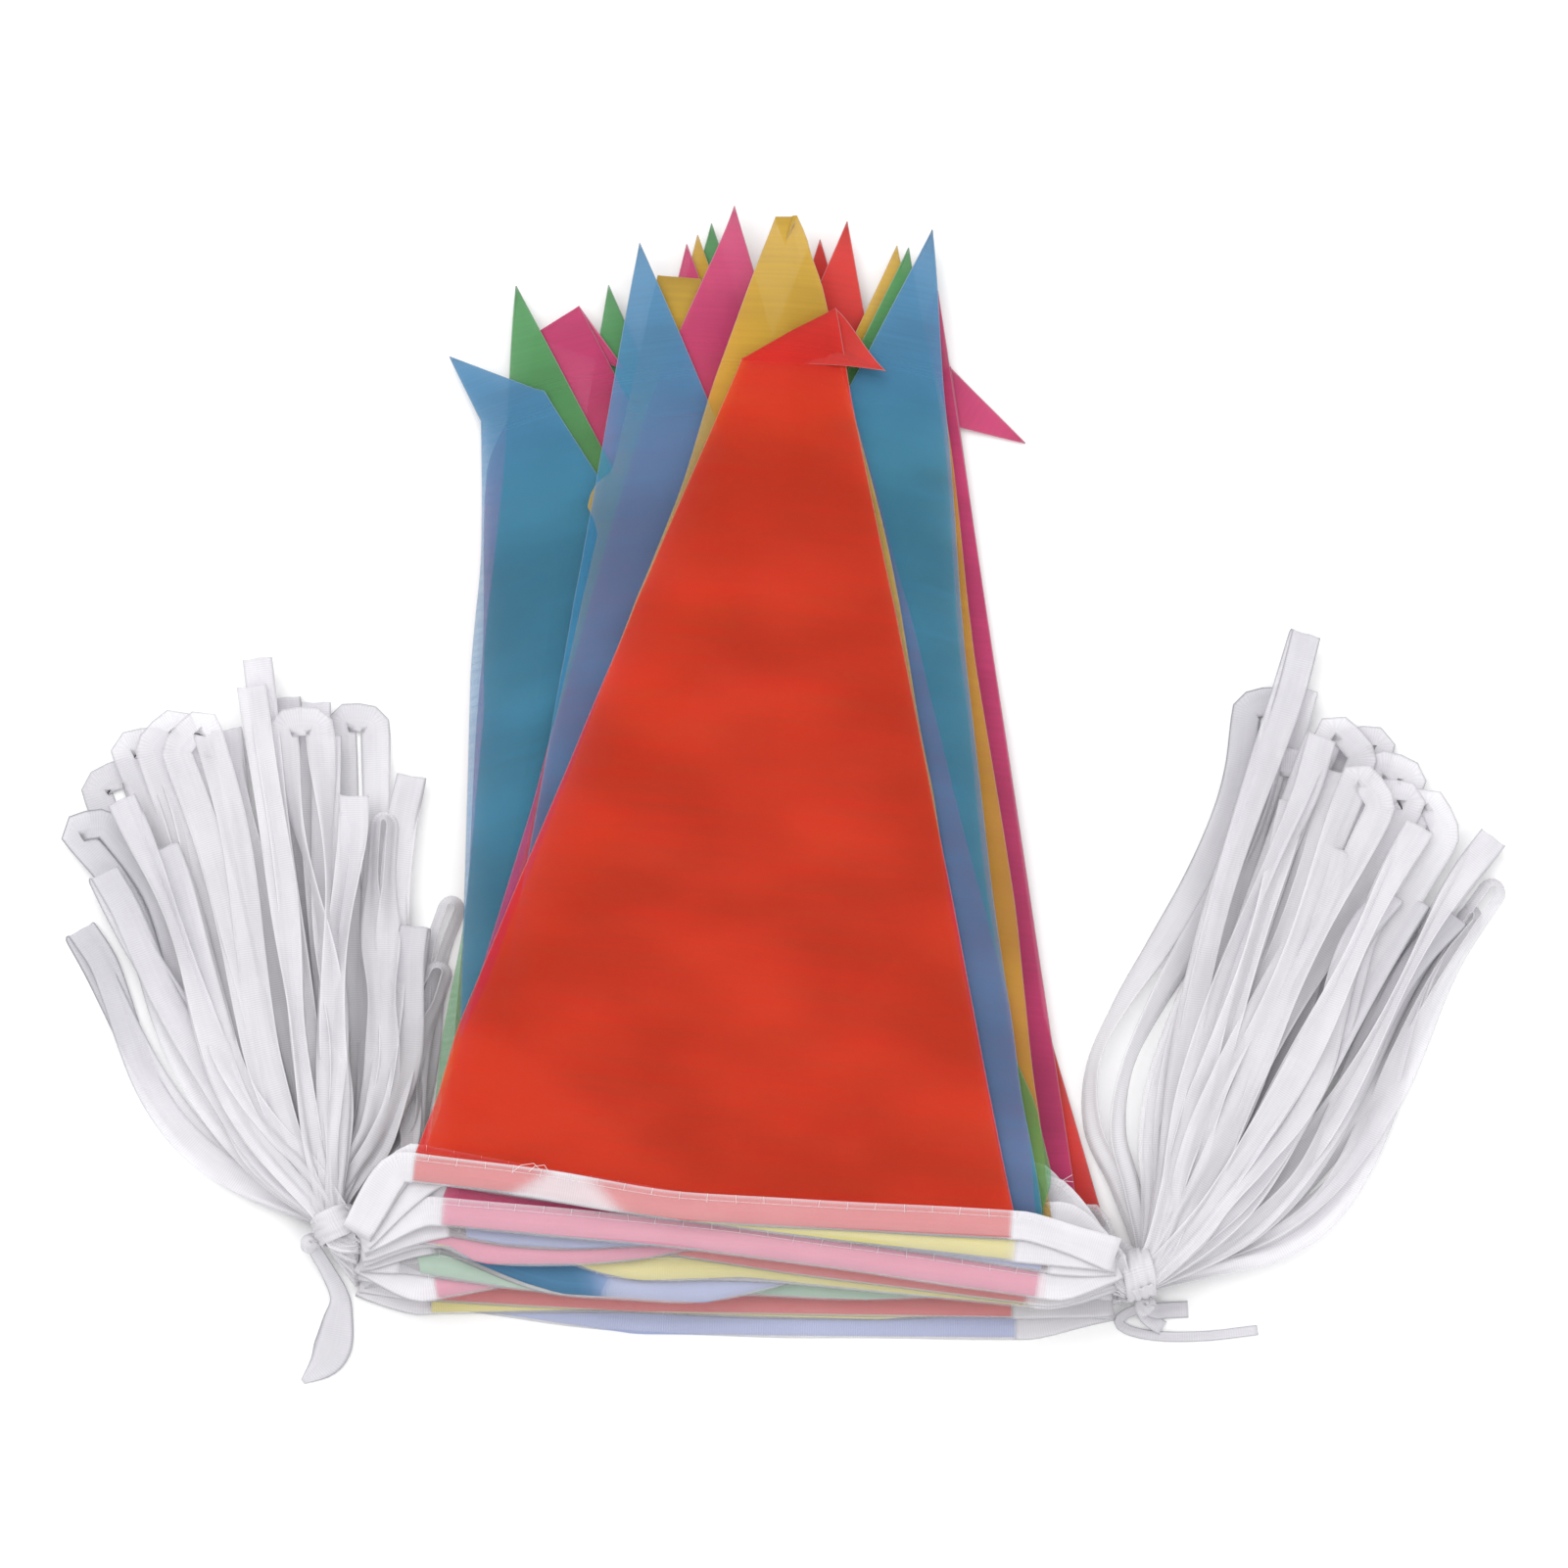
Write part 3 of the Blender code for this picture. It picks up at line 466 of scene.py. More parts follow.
def pennant(row):
    """The grid of a pennant: rows from inside the tape to the point, folded with the cloth."""
    left, right, point, across, up = corners(row)
    long_left, long_right = np.hypot(*(point - left)), np.hypot(*(point - right))
    name = row["name"]
    crease = CREASED.get(name) or FOLDED_UNDER.get(name)
    top_left, top_right = (1 - off / length for off, length in
                           zip(crease or (POINT_OFF, POINT_OFF), (long_left, long_right)))
    rows = round(long_left * top_left / CELL)
    columns = round(PENNANT_WIDE / CELL)

    def across_row(share_left, share_right):
        """The places along one row, and how they lie flat."""
        sides = []
        for start, share, length, side in ((left, share_left, long_left, "left"),
                                           (right, share_right, long_right, "right")):
            along = unit(point - start)
            out = np.array((-along[1], along[0])) if side == "left" else np.array((along[1], -along[0]))
            straight = start + along * length * share
            away = bend(name, side, length * (1 - share))
            sides.append((straight + out * away, straight))
        wide = max(1.0, np.hypot(*(sides[1][0] - sides[0][0])))
        near = min(0.2, EDGE_STRIP / wide)
        shares = np.concatenate(([0.0], np.linspace(near, 1 - near, columns - 1), [1.0]))
        places = lerp(sides[0][0], sides[1][0], shares[:, None])
        unbent = lerp(sides[0][1], sides[1][1], shares[:, None]) - (left + right) / 2
        flat = np.stack((unbent @ across, unbent @ up), -1)
        return shares, places, flat

    plan, flats = [], []
    for down in (IN_TAPE, IN_TAPE / 2, 0.0):
        shares, places, flat = across_row(0.0, 0.0)
        plan.append(places + seam_lift(row, shares) - up * down)
        flats.append(flat - np.array((0.0, down)))
    for k in range(1, rows + 1):
        t = k / rows
        shares, places, flat = across_row(top_left * t, top_right * t)
        fade = max(0.0, 1 - k * CELL / SEAM_FADE)
        plan.append(places + seam_lift(row, shares) * fade * fade)
        flats.append(flat)
    plan, flats = np.array(plan), np.array(flats)
    solid = solid_of("pennant_" + name)
    heights = lying(solid, plan)
    tape = solid_of("tape_" + name)
    heights[:2] = lying(tape, plan[:2])
    heights[2] = (heights[1] + heights[3]) / 2
    taped = 1.0 - smooth((BEHIND.get(name, -1.0) - shares) / SLIP_SOFT)
    body = np.concatenate((plan, heights[..., None]), -1)
    body[..., 2] += wrinkles(row, flats, body)
    if crease:
        tip_rows = max(3, round(crease[0] / CELL))
        a, b = plan[-1, 0], plan[-1, -1]
        tip_plan, tip_flat = [], []
        for k in range(0 if name in FOLDED_UNDER else 1, tip_rows + 1):
            t = FLAP_REACH * k / tip_rows
            shares, places, flat = across_row(lerp(top_left, 1, t), lerp(top_right, 1, t))
            if name in FOLDED_UNDER:
                along = unit(b - a)
                offset = places - a
                places = a + 2 * (offset @ along)[:, None] * along - offset
            else:
                swung = np.array(CREASED[name][2:])
                places = lerp(lerp(a, swung, t), lerp(b, swung, t), shares[:, None])
            tip_plan.append(places)
            tip_flat.append(flat)
        tip_plan, tip_flat = np.array(tip_plan), np.array(tip_flat)
        tip_heights = lying(solid, tip_plan, -1.0 if name in FOLDED_UNDER else 1.0)
        tip = np.concatenate((tip_plan, tip_heights[..., None]), -1)
        if name in FOLDED_UNDER:
            bead = (body[-1] + tip[0]) / 2
            bead[:, :2] += np.array((-unit(b - a)[1], unit(b - a)[0])) * FOLD_BEAD
            body = np.concatenate((body, bead[None], tip))
            flats = np.concatenate((flats, tip_flat[:1], tip_flat))
        else:
            body[-1, :, 2] += CREASE_RISE
            body = np.concatenate((body, tip))
            flats = np.concatenate((flats, tip_flat))
    cut = np.zeros(body.shape[:2])
    cut[:, 0] = cut[:, -1] = cut[-1] = 1.0
    # The shut weave also carries painted shade: towards the point, on the lowest cloths and where the tape
    # slipped behind.
    shut_and_shade = smooth((flats[..., 1] - PENNANT_LONG + CRUMPLED_FROM) / CRUMPLED_OVER)
    if PENNANTS.index(tuple(row.values())) < LOWEST:
        shut_and_shade = np.maximum(shut_and_shade, LOWEST_SHUT_AND_SHADE)
    shut_and_shade = np.maximum(shut_and_shade, (1 - taped) * smooth((SLIP_LONG - flats[..., 1]) / SLIP_LONG))
    marks = {"cut": cut, "shut_and_shade": shut_and_shade, "taped": taped}
    return cloth_piece("cloth_" + name, [(body, flats, marks)], cloths[row["cloth"]], CLOTH_THICK,
                       ["pennant_" + name])


for values in PENNANTS:
    row = dict(zip(PENNANT_COLUMNS, values))
    piece = pennant(row)

# --- tape along the pennants ----------------------------------------------------------------------
# A white semi-sheer woven tape is folded lengthwise over the base of every pennant and stitched
# through, so that the cloth shows through it in a pale tint. Past the pennant it runs on bare to the
# bunch of loops on either side, where it is squeezed into pleats.
TAPE_WIDE = 9.0
TAPE_THICK = 0.1
TAPE_RISE = 0.42
# Where the lowest and the highest tape run into the bunch, and the step of places along a tape.
LEFT_GATHER = (np.array((-111.0, -92.6)), np.array((-111.0, -81.4)))
RIGHT_GATHER = (np.array((115.9, -99.5)), np.array((115.9, -88.5)))
STATION = 2.6
# The tape runs straight on past the pennant, and is squeezed into pleats at both ends.
PAST_SEAM = 6.0
SQUEEZED_OVER = 20.0
PLEAT_HIGH = 0.25
# Round the folded tape, from its cut edge on top over the fold and back below: how far down it and
# how high, as a share of TAPE_RISE.
PROFILE = ((0.0, 1.0), (0.12, 1.0), (0.3, 1.1), (0.5, 1.2), (0.7, 1.1), (0.9, 0.8), (1.0, 0.0),
           (0.9, -0.8), (0.7, -1.1), (0.5, -1.2), (0.3, -1.1), (0.12, -1.0), (0.0, -1.0))
# Metres from rib to rib, and the noise to the metre along and across the tape.
RIB = 0.0007
LINES = (25.0, 1100.0)
CLOUDS = (60.0, 120.0)
# Where a tape is doubled, as shares of the pennant's width, and how much more it covers there.
DOUBLED = {"red_1": (0.14, 0.33)}
DOUBLED_CLOSE = 0.75


def tape_paint(name, thin, thick):
    """White woven tape with fine ribs across it. It covers from thin, over cloth, to thick, bare. Where a run
    lies alone it is painted grey as shade, darker still along its edges.
    """
    material, wire, shader = painted(name, Roughness=0.8, Specular_IOR_Level=0.1)
    flat, x, y = wire.flat()
    drift = wire.noise(flat, 80.0, detail=1.0) * 6.0
    ribs = (x * (2 * math.pi / RIB) + drift).wave()
    lines, clouds = (wire.noise(wire.join(x * along, y * across), 1.0) for along, across in (LINES, CLOUDS))
    tone = (lines * 0.35 + clouds * 0.65).between(0.35, 0.65)
    edge = wire.mark("cut").between(0.35, 1.0)
    single, close = wire.mark("single"), wire.mark("close")
    white = wire.mix(tone, (0.84, 0.825, 0.86), (0.91, 0.895, 0.93))
    # Painted shade: a run that lies alone takes this grey shaded colour, and a darker painted grey at its
    # edges.
    shaded = wire.mix(tone, (0.66, 0.65, 0.69), (0.71, 0.70, 0.74))
    body = wire.mix(single, white, shaded)
    feed(shader,
         Base_Color=wire.mix(edge * single * 0.8, body, (0.26, 0.26, 0.29)),
         Alpha=close.between(0.0, 1.0, thin, thick) + single * 0.2 + edge * 0.22 + ribs * 0.03,
         Normal=wire.node("Bump", {}, {"Strength": 0.2, "Distance": 0.0001, "Height": ribs + lines * 2.0}))
    return material


bound_tape = tape_paint("bound_tape_paint", 0.13, 0.5)


def resampled(corners, step):
    """Evenly spaced places along a line through corners, eased round them."""
    line = np.array(corners, float)
    for _ in range(3):
        inner = np.empty((2 * len(line) - 2, line.shape[1]))
        inner[0::2] = line[:-1] * 0.75 + line[1:] * 0.25
        inner[1::2] = line[:-1] * 0.25 + line[1:] * 0.75
        line = np.concatenate((line[:1], inner, line[-1:]))
    run = np.concatenate(([0.0], np.cumsum(np.hypot(*np.diff(line, axis=0)[:, :2].T))))
    at = np.linspace(0, run[-1], max(2, round(run[-1] / step)) + 1)
    return np.stack([np.interp(at, run, line[:, k]) for k in range(line.shape[1])], -1)


def bound(row, order):
    """The tape of one pennant: over it and under it, from one gather to the other."""
    left, right, _, across, up = corners(row)
    at = np.array([share for share, _ in SEAM_BENDS.get(row["name"], STRAIGHT)])
    seam = left + (right - left) * at[:, None] + seam_lift(row, at)
    rank = order / (len(PENNANTS) - 1)
    ends = lerp(*LEFT_GATHER, rank), lerp(*RIGHT_GATHER, rank)
    past = PAST_SEAM * unit(seam[0] - seam[1]), PAST_SEAM * unit(seam[-1] - seam[-2])
    seam = [seam[0] + past[0], *seam, seam[-1] + past[1]]
    middle = resampled([ends[0], *(place - up * TAPE_WIDE / 2 for place in seam), ends[1]], STATION)
    count = len(middle)
    heading = np.gradient(middle, axis=0)
    heading /= np.hypot(*heading.T)[:, None]
    over = np.stack((-heading[:, 1], heading[:, 0]), -1)
    run = np.arange(count) * STATION
    from_end = np.minimum(middle[:, 0] - ends[0][0], ends[1][0] - middle[:, 0])
    squeeze = 1 - smooth(from_end / SQUEEZED_OVER)
    within = (middle - (left + right) / 2) @ across
    share = within / PENNANT_WIDE + 0.5
    behind = smooth((BEHIND.get(row["name"], -1.0) - share) / SLIP_SOFT)
    solid = solid_of("tape_" + row["name"])
    plan = np.empty((count, len(PROFILE), 2))
    for k, (down, _) in enumerate(PROFILE):
        wide = TAPE_WIDE * (1 + 0.1 * squeeze)
        waver = 0.25 * np.sin(run / 9.0 + order * 1.7 + 3 * down) * (0.4 + 2 * squeeze)
        plan[:, k] = middle + over * (wide * (0.5 - down) + waver)[:, None]
    heights = lying(solid, plan[:, [0, 3, 6]])
    grid = np.empty((count, len(PROFILE), 3))
    flat = np.empty((count, len(PROFILE), 2))
    for k, (down, rise) in enumerate(PROFILE):
        low = np.stack([np.interp(down, (0.0, 0.5, 1.0), row_heights) for row_heights in heights])
        pleat = PLEAT_HIGH * squeeze * np.sin(9.0 * down + 0.9 * order + run / 14.0)
        grid[:, k, :2] = plan[:, k]
        grid[:, k, 2] = low + TAPE_RISE * lerp(rise, 0.3 * rise - 0.9, behind) + pleat
        flat[:, k] = np.stack((run, np.full(count, TAPE_WIDE * (down if rise >= 0 else 2 - down))), -1)
    edge = np.zeros(len(PROFILE))
    edge[[0, 1, 6, -2, -1]] = 1.0, 0.4, 0.5, 0.4, 1.0
    close = smooth((np.abs(within) - PENNANT_WIDE / 2 + 1.0) / 2.0)[:, None]
    if row["name"] in DOUBLED:
        start, end = DOUBLED[row["name"]]
        down = np.array([down for down, _ in PROFILE])[None]
        begun = smooth((share[:, None] - start - 0.06 * (1 - down)) / 0.05)
        close = close + DOUBLED_CLOSE * begun * smooth((end + 0.06 * down - share[:, None]) / 0.07)
    marks = {"cut": edge, "single": 0.0, "close": close}
    piece = cloth_piece("binding_" + row["name"], [(grid, flat, marks)], bound_tape,
                        TAPE_THICK, ["tape_" + row["name"]])
    return piece, run[-1], grid


stitches = []
for order, values in enumerate(PENNANTS):
    row = dict(zip(PENNANT_COLUMNS, values))
    piece, length, grid = bound(row, order)
    length * MM
    stitches.append(grid[:, :4])

# The stitching: a row of short white stitches close under the tape's upper edge, through every layer.
# The first and last steps of a tape, where it runs into the bunch, have none.
STITCH_LONG = 2.9
STITCH_PITCH = 3.1
STITCH_THICK = 0.07
UNSEWN = 9
thread, wire, shader = painted("thread_paint", Roughness=0.5)
spot = wire.node("TexCoord", {}, {}, output=3)
twist = wire.noise(spot, 1500.0)
feed(shader, Base_Color=wire.mix(twist, (0.84, 0.82, 0.84), (0.93, 0.91, 0.93)))


def bars(name, ends, radius, material):
    """Short three-sided bars of thread between pairs of points."""
    points, faces = [], []
    for a, b in ends:
        way = (b - a) / np.linalg.norm(b - a)
        side = np.cross(way, (0.0, 0.0, 1.0))
        side /= np.linalg.norm(side)
        lift = np.cross(side, way)
        first = len(points)
        for end in (a, b):
            for turn in (0, 1, 2):
                angle = 2 * math.pi * turn / 3 + math.pi / 2
                points.append(end + radius * (math.cos(angle) * side + math.sin(angle) * lift))
        faces += [(first, first + 2, first + 1), (first + 3, first + 4, first + 5)]
        faces += [(first + k, first + (k + 1) % 3, first + 3 + (k + 1) % 3, first + 3 + k) for k in range(3)]
    mesh = bpy.data.meshes.new(name)
    mesh.from_pydata((np.array(points) * MM).tolist(), [], faces)
    mesh.materials.append(material)
    piece = bpy.data.objects.new(name, mesh)
    bpy.context.collection.objects.link(piece)
    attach(piece, "root")


sewn = []
for grid in stitches:
    line = lerp(grid[:, 1], grid[:, 2], 0.55)
    line = line[UNSEWN:-UNSEWN] + np.array((0.0, 0.0, STITCH_THICK))
    at = 0.0
    while at + STITCH_LONG / STATION < len(line) - 1:
        sewn.append([lerp(line[int(place)], line[int(place) + 1], place - int(place))
                     for place in (at, at + STITCH_LONG / STATION)])
        at += STITCH_PITCH / STATION
bars("stitching", sewn, STITCH_THICK, thread)

# Short ends of the cloth's cut threads stand over the tape's edge every few stitches, and two places
# have long loose ones.
TICK_PITCH = 8.4
TICK_THICK = 0.09
LOOSE = (
    # x, y and height along each loose thread
    ((-64.8, -63.6, 33.8), (-62.2, -61.4, 34.0), (-58.3, -60.9, 34.0), (-56.0, -63.2, 33.9)),
    ((-59.8, -63.4, 33.8), (-58.0, -61.7, 34.0), (-55.1, -61.4, 34.0), (-53.9, -63.4, 33.9)),
    ((98.7, -67.8, 22.5), (100.8, -64.6, 24.0), (103.4, -63.1, 24.5)),
    ((97.8, -66.6, 22.5), (101.4, -64.9, 23.5), (103.7, -65.2, 24.0)),
)
chance = np.random.default_rng(3)
ticks = []
for grid in stitches:
    for at in np.arange(UNSEWN, len(grid) - UNSEWN - 1, TICK_PITCH / STATION):
        k = int(at)
        top = lerp(grid[k, 0], grid[k + 1, 0], at - k) + np.array((0.0, 0.0, 0.42))
        down = lerp(grid[k, 2], grid[k + 1, 2], at - k) + np.array((chance.uniform(-0.5, 0.5), 0.0, 0.12))
        ticks.append((top, lerp(top, down, chance.uniform(0.7, 1.0))))
for line in LOOSE:
    ticks += [(np.array(a), np.array(b)) for a, b in zip(line, line[1:])]
bars("thread_ends", ticks, TICK_THICK, thread)

# --- bunches of loops -----------------------------------------------------------------------------
# The bare tape between the pennants, drawn out on either side into loops that are squeezed together
# at a neck. Every loop runs out from the neck, turns over at its end, and comes back. A square end is
# folded straight back, a roof end runs across on the flat, and an eye stands on edge and gapes.
SQUARE, ROOF, EYE = 0, 1, 2
LOOP_COLUMNS = ("end_x", "end_y", "bow", "apart", "end")
LEFT_LOOPS = (
    (-198, 14, -15, 0, SQUARE), (-187, 58, -12, 0, ROOF), (-163, 64, -8, 0, ROOF),
    (-136, 86, 2, 0, SQUARE), (-114, 76, 8, 4, ROOF), (-85, 21, 15, 5, EYE),
    (-193, 43, -13, 5, ROOF), (-178, 68, -10, 0, ROOF), (-153, 76, -2, 0, SQUARE),
    (-126, 84, 4, 0, SQUARE), (-97, 61, 12, 0, SQUARE), (-90, 1, 14, 4, EYE),
    (-189, 28, -10, 0, SQUARE), (-170, 68, -9, 6, ROOF), (-144, 94, 0, 0, SQUARE),
    (-123, 70, 5, 0, SQUARE), (-106, 43, 9, 3, EYE), (-97, 11, 9, 0, SQUARE),
    (-179, 42, -8, 0, SQUARE), (-160, 58, -5, 3, ROOF), (-144, 76, -1, 0, SQUARE),
    (-130, 61, 2, 0, ROOF), (-116, 42, 4, 0, SQUARE), (-166, 27, -8, 0, SQUARE),
)
RIGHT_LOOPS = (
    (163, 81, -26, 8, ROOF), (179, 62, -9, 0, SQUARE), (193, 69, 2, 0, ROOF),
    (211, 50, 9, 0, SQUARE), (232, 27, 18, 5, EYE), (226, 18, 22, 3, EYE),
    (166, 66, -11, 3, EYE), (175, 89, -7, 0, SQUARE), (188, 69, 0, 0, ROOF),
    (202, 60, 6, 0, ROOF), (233, 42, 11, 0, SQUARE), (221, 18, 17, 0, SQUARE),
    (175, 102, -5, 0, SQUARE), (170, 58, -6, 4, ROOF), (186, 58, -3, 0, SQUARE),
    (199, 49, 4, 0, ROOF), (212, 43, 10, 3, ROOF), (207, 20, 11, 0, SQUARE),
    (176, 61, -4, 0, SQUARE), (168, 40, -4, 0, SQUARE), (189, 42, 0, 3, ROOF),
    (204, 34, 6, 0, SQUARE), (178, 27, -2, 0, SQUARE), (195, 13, 6, 0, SQUARE),
)
LOOPS_A_LAYER = 6
LAYERS = 4
# How far a layer, and the way back above the way out, lie above the last, and how much further out the
# loops of each layer reach than the table says.
LAYER_RISE = 4.9
LAYER_RISE_AT_END = 3.4
LAYER_REACH = (0.0, 0.0, 3.0, 12.0)
RUN_RISE = 1.9
# Where along a loop its bow is widest, how far it sways and strays, how much a roof end slants, how far
# the middle of a bunch bulges up, and how far a run rolls and twists, in radians.
BOW_EARLY = 0.62
SWAY = 3.4
STRAY = 4.0
SLANT = 4.0
BULGE = 2.2
ROLL = 0.9
TWIST = 0.8
PLACES = (0.1, 0.2, 0.32, 0.44, 0.56, 0.68, 0.8, 0.9, 1.0)
END_APART = {SQUARE: 0.0, ROOF: 5.6, EYE: 2.8}
# The ends: a roof end's corners, as shares of the way across and how far past the end of the runs, how
# far the others reach past it, and how an eye stands up and narrows there.
ROOF_CORNERS = ((0.0, 3.2), (0.14, 4.6), (0.5, 5.0), (0.86, 4.6), (1.0, 3.2))
EYE_REACH = 3.2
EYE_ON_EDGE = 1.05
EYE_NARROWER = 0.3
SQUARE_REACH = 1.1
# A neck's places on the table, the last where the loops spread, then its width, underside and height.
NECK_COLUMNS = ("first", "second", "root", "wide", "low", "high")
LEFT_NECK = (*np.array(((-115.9, -81.7), (-120.1, -73.7), (-121.65, -70.25))), 11.5, 1.6, 23.0)
RIGHT_NECK = (*np.array(((118.7, -93.3), (126.9, -90.7), (130.5, -87.65))), 12.0, 1.6, 23.0)
# How high the lowest and the highest run leave the gathers, and how far inside the neck's outline they
# stay: over its underside, in its height and in its width.
GATHER_LOW = 1.2
GATHER_RISE = 29.0
NECK_UNDER = 1.6
NECK_OVER = 3.0
NECK_BESIDE = 2.5
# The ribbon: its thickness, the step of places along it, and the number of points across it.
LOOP_THICK = 0.22
LOOP_STEP = 2.8
CROSS = 9

loop_tape = tape_paint("loop_tape_paint", 0.38, 0.5)


def spline(points, step):
    """A smooth line through the points, at about even steps."""
    points = np.array(points, float)
    padded = np.concatenate((2 * points[:1] - points[1:2], points, 2 * points[-1:] - points[-2:-1]))
    line = []
    for k in range(len(points) - 1):
        a, b, c, d = padded[k:k + 4]
        parts = max(2, round(np.linalg.norm(c[:3] - b[:3]) / step))
        for t in np.arange(parts) / parts:
            line.append(0.5 * (2 * b + (c - a) * t + (2 * a - 5 * b + 4 * c - d) * t * t
                               + (3 * b - a - 3 * c + d) * t ** 3))
    return np.array(line + [points[-1]])


def loop_runs(chance, row, layer, place, neck, gathers):
    """The way out and the way back of a loop, as lines of x, y, height and share of the way."""
    root, end = neck["root"], np.array((row["end_x"], row["end_y"]), float)
    end = end + unit(end - root) * LAYER_REACH[layer]
    way = end - root
    side = np.array((way[1], -way[0])) / np.hypot(*way)
    neck_way = unit(neck["second"] - neck["first"])
    neck_side = np.array((neck_way[1], -neck_way[0]))
    lane = ((place + 0.5) / LOOPS_A_LAYER - 0.5) * (1 if side @ neck_side > 0 else -1)
    sway, turns, phase = chance.uniform(-SWAY, SWAY), chance.uniform(3.0, 9.0), chance.uniform(0, 6.28)
    stray = chance.uniform(-STRAY, STRAY)
    slant = chance.uniform(-SLANT, SLANT) if row["end"] == ROOF else 0.0
    lines = []
    for top in (0, 1):
        which = 1 if top else -1
        step = (2 * (layer * LOOPS_A_LAYER + place) + top) / (2 * LAYERS * LOOPS_A_LAYER - 1)
        runs = [(*lerp(*gathers, step), GATHER_LOW + GATHER_RISE * step, 0.0)]
        squeezed = neck["low"] + NECK_UNDER + (neck["high"] - NECK_OVER) * (layer + 0.5 * top + 0.25) / LAYERS
        shift = neck_side * (neck["wide"] - NECK_BESIDE) * lane
        for spot in (neck["first"], neck["second"]):
            runs.append((*(spot + 0.7 * shift), squeezed, 0.0))
        for t in PLACES:
            bow = row["bow"] + which * row["apart"] / 2
            off = bow * math.sin(math.pi * t ** BOW_EARLY) ** 2 + stray * math.sin(math.pi * t) ** 2
            off += sway * math.sin(turns * t + phase + top) * smooth(t / 0.3) * smooth((1.15 - t) / 0.3)
            off += which * END_APART[row["end"]] * smooth((t - 0.45) / 0.55)
            plan = root + way * t + side * off + shift * (1 - smooth(t / 0.5))
            plan = plan + unit(way) * which * slant * smooth((t - 0.8) / 0.2)
            laid = layer * lerp(LAYER_RISE, LAYER_RISE_AT_END, smooth(t)) + 0.5
            laid += top * (RUN_RISE if row["end"] == SQUARE else 0.5 * RUN_RISE)
            laid += BULGE * math.sin(math.pi * min(1.0, t * 1.1)) * (1 - abs(2 * lane)) * (layer + 1) / LAYERS
            runs.append((*plan, lerp(squeezed, laid, smooth(t / 0.5)), t))
        lines.append(spline(runs, LOOP_STEP))
    return lines[0], lines[1][::-1]


def loop_turn(out, back, end, ahead):
    """The points of a loop's end, from its way out to its way back."""
    a, b = out[-1], back[0]
    across = b[:2] - a[:2]
    points = []
    if end == ROOF:
        for share, forward in ROOF_CORNERS:
            points.append((*(a[:2] + across * share + ahead * forward), lerp(a[2], b[2], share) + 0.3, 1.0))
    elif end == EYE:
        for angle in np.linspace(0.35, math.pi - 0.35, 7):
            plan = a[:2] + across * (0.5 - 0.5 * math.cos(angle)) + ahead * EYE_REACH * math.sin(angle)
            points.append((*plan, (a[2] + b[2]) / 2, 1.0))
    else:
        for angle in np.linspace(-1.1, 1.1, 5):
            share = 0.5 + 0.5 * math.sin(angle)
            plan = a[:2] + across * share + ahead * SQUARE_REACH * math.cos(angle)
            points.append((*plan, lerp(a[2], b[2], share), 1.0))
    return np.array(points)


def ribbon(chance, line, end, middle, ahead):
    """The grid over one loop's tape: its width, roll and pleats along the line."""
    t, plan = line[:, 3], line[:, :3].copy()
    heading = np.gradient(plan, axis=0)
    heading /= np.linalg.norm(heading, axis=1)[:, None]
    level = np.stack((heading[:, 1], -heading[:, 0], np.zeros(len(line))), -1)
    returning = np.arange(len(line)) > middle
    if end == SQUARE:
        level[returning] *= -1
        level[np.abs(np.arange(len(line)) - middle) < 4.5] = (ahead[1], -ahead[0], 0.0)
    level /= np.maximum(np.linalg.norm(level, axis=1), 1e-6)[:, None]
    roll, twist = chance.uniform(-ROLL, ROLL), chance.uniform(-TWIST, TWIST)
    angle = roll * np.sin(math.pi * t) * smooth(t / 0.4) + twist * np.sin(2 * math.pi * t)
    if end == SQUARE:
        angle = np.where(returning, -angle, angle)
    if end == EYE:
        angle = lerp(angle, EYE_ON_EDGE, smooth((t - 0.5) / 0.4))
    across = level * np.cos(angle)[:, None] + np.array((0.0, 0.0, 1.0)) * np.sin(angle)[:, None]
    wide = TAPE_WIDE * (0.6 + 0.4 * smooth(t / 0.3))
    if end == EYE:
        wide = wide * (1 - EYE_NARROWER * smooth((t - 0.55) / 0.35))
    plan[:, 2] += np.abs(np.sin(angle)) * wide * 0.4
    face = np.cross(heading, across)
    face /= np.linalg.norm(face, axis=1)[:, None]
    offsets = np.linspace(-0.5, 0.5, CROSS)
    waves = np.sin(offsets[None] * 9.0 + chance.uniform(0, 6.28) + 2.5 * t[:, None])
    curl = chance.uniform(-0.5, 0.5) * (1 - 4 * offsets[None] ** 2) * (wide / TAPE_WIDE)[:, None]
    rise = waves * (0.7 * (1 - smooth(t / 0.4)) + 0.15)[:, None] + curl
    grid = plan[:, None] + across[:, None] * (offsets[None, :, None] * wide[:, None, None])
    grid += face[:, None] * rise[..., None]
    grid[..., 2] = np.maximum(grid[..., 2], LOOP_THICK)
    run = np.concatenate(([0.0], np.cumsum(np.linalg.norm(np.diff(plan, axis=0), axis=1))))
    flat = np.stack(np.broadcast_arrays(run[:, None], (offsets[None] + 0.5) * TAPE_WIDE), -1)
    return grid, flat, run[-1]


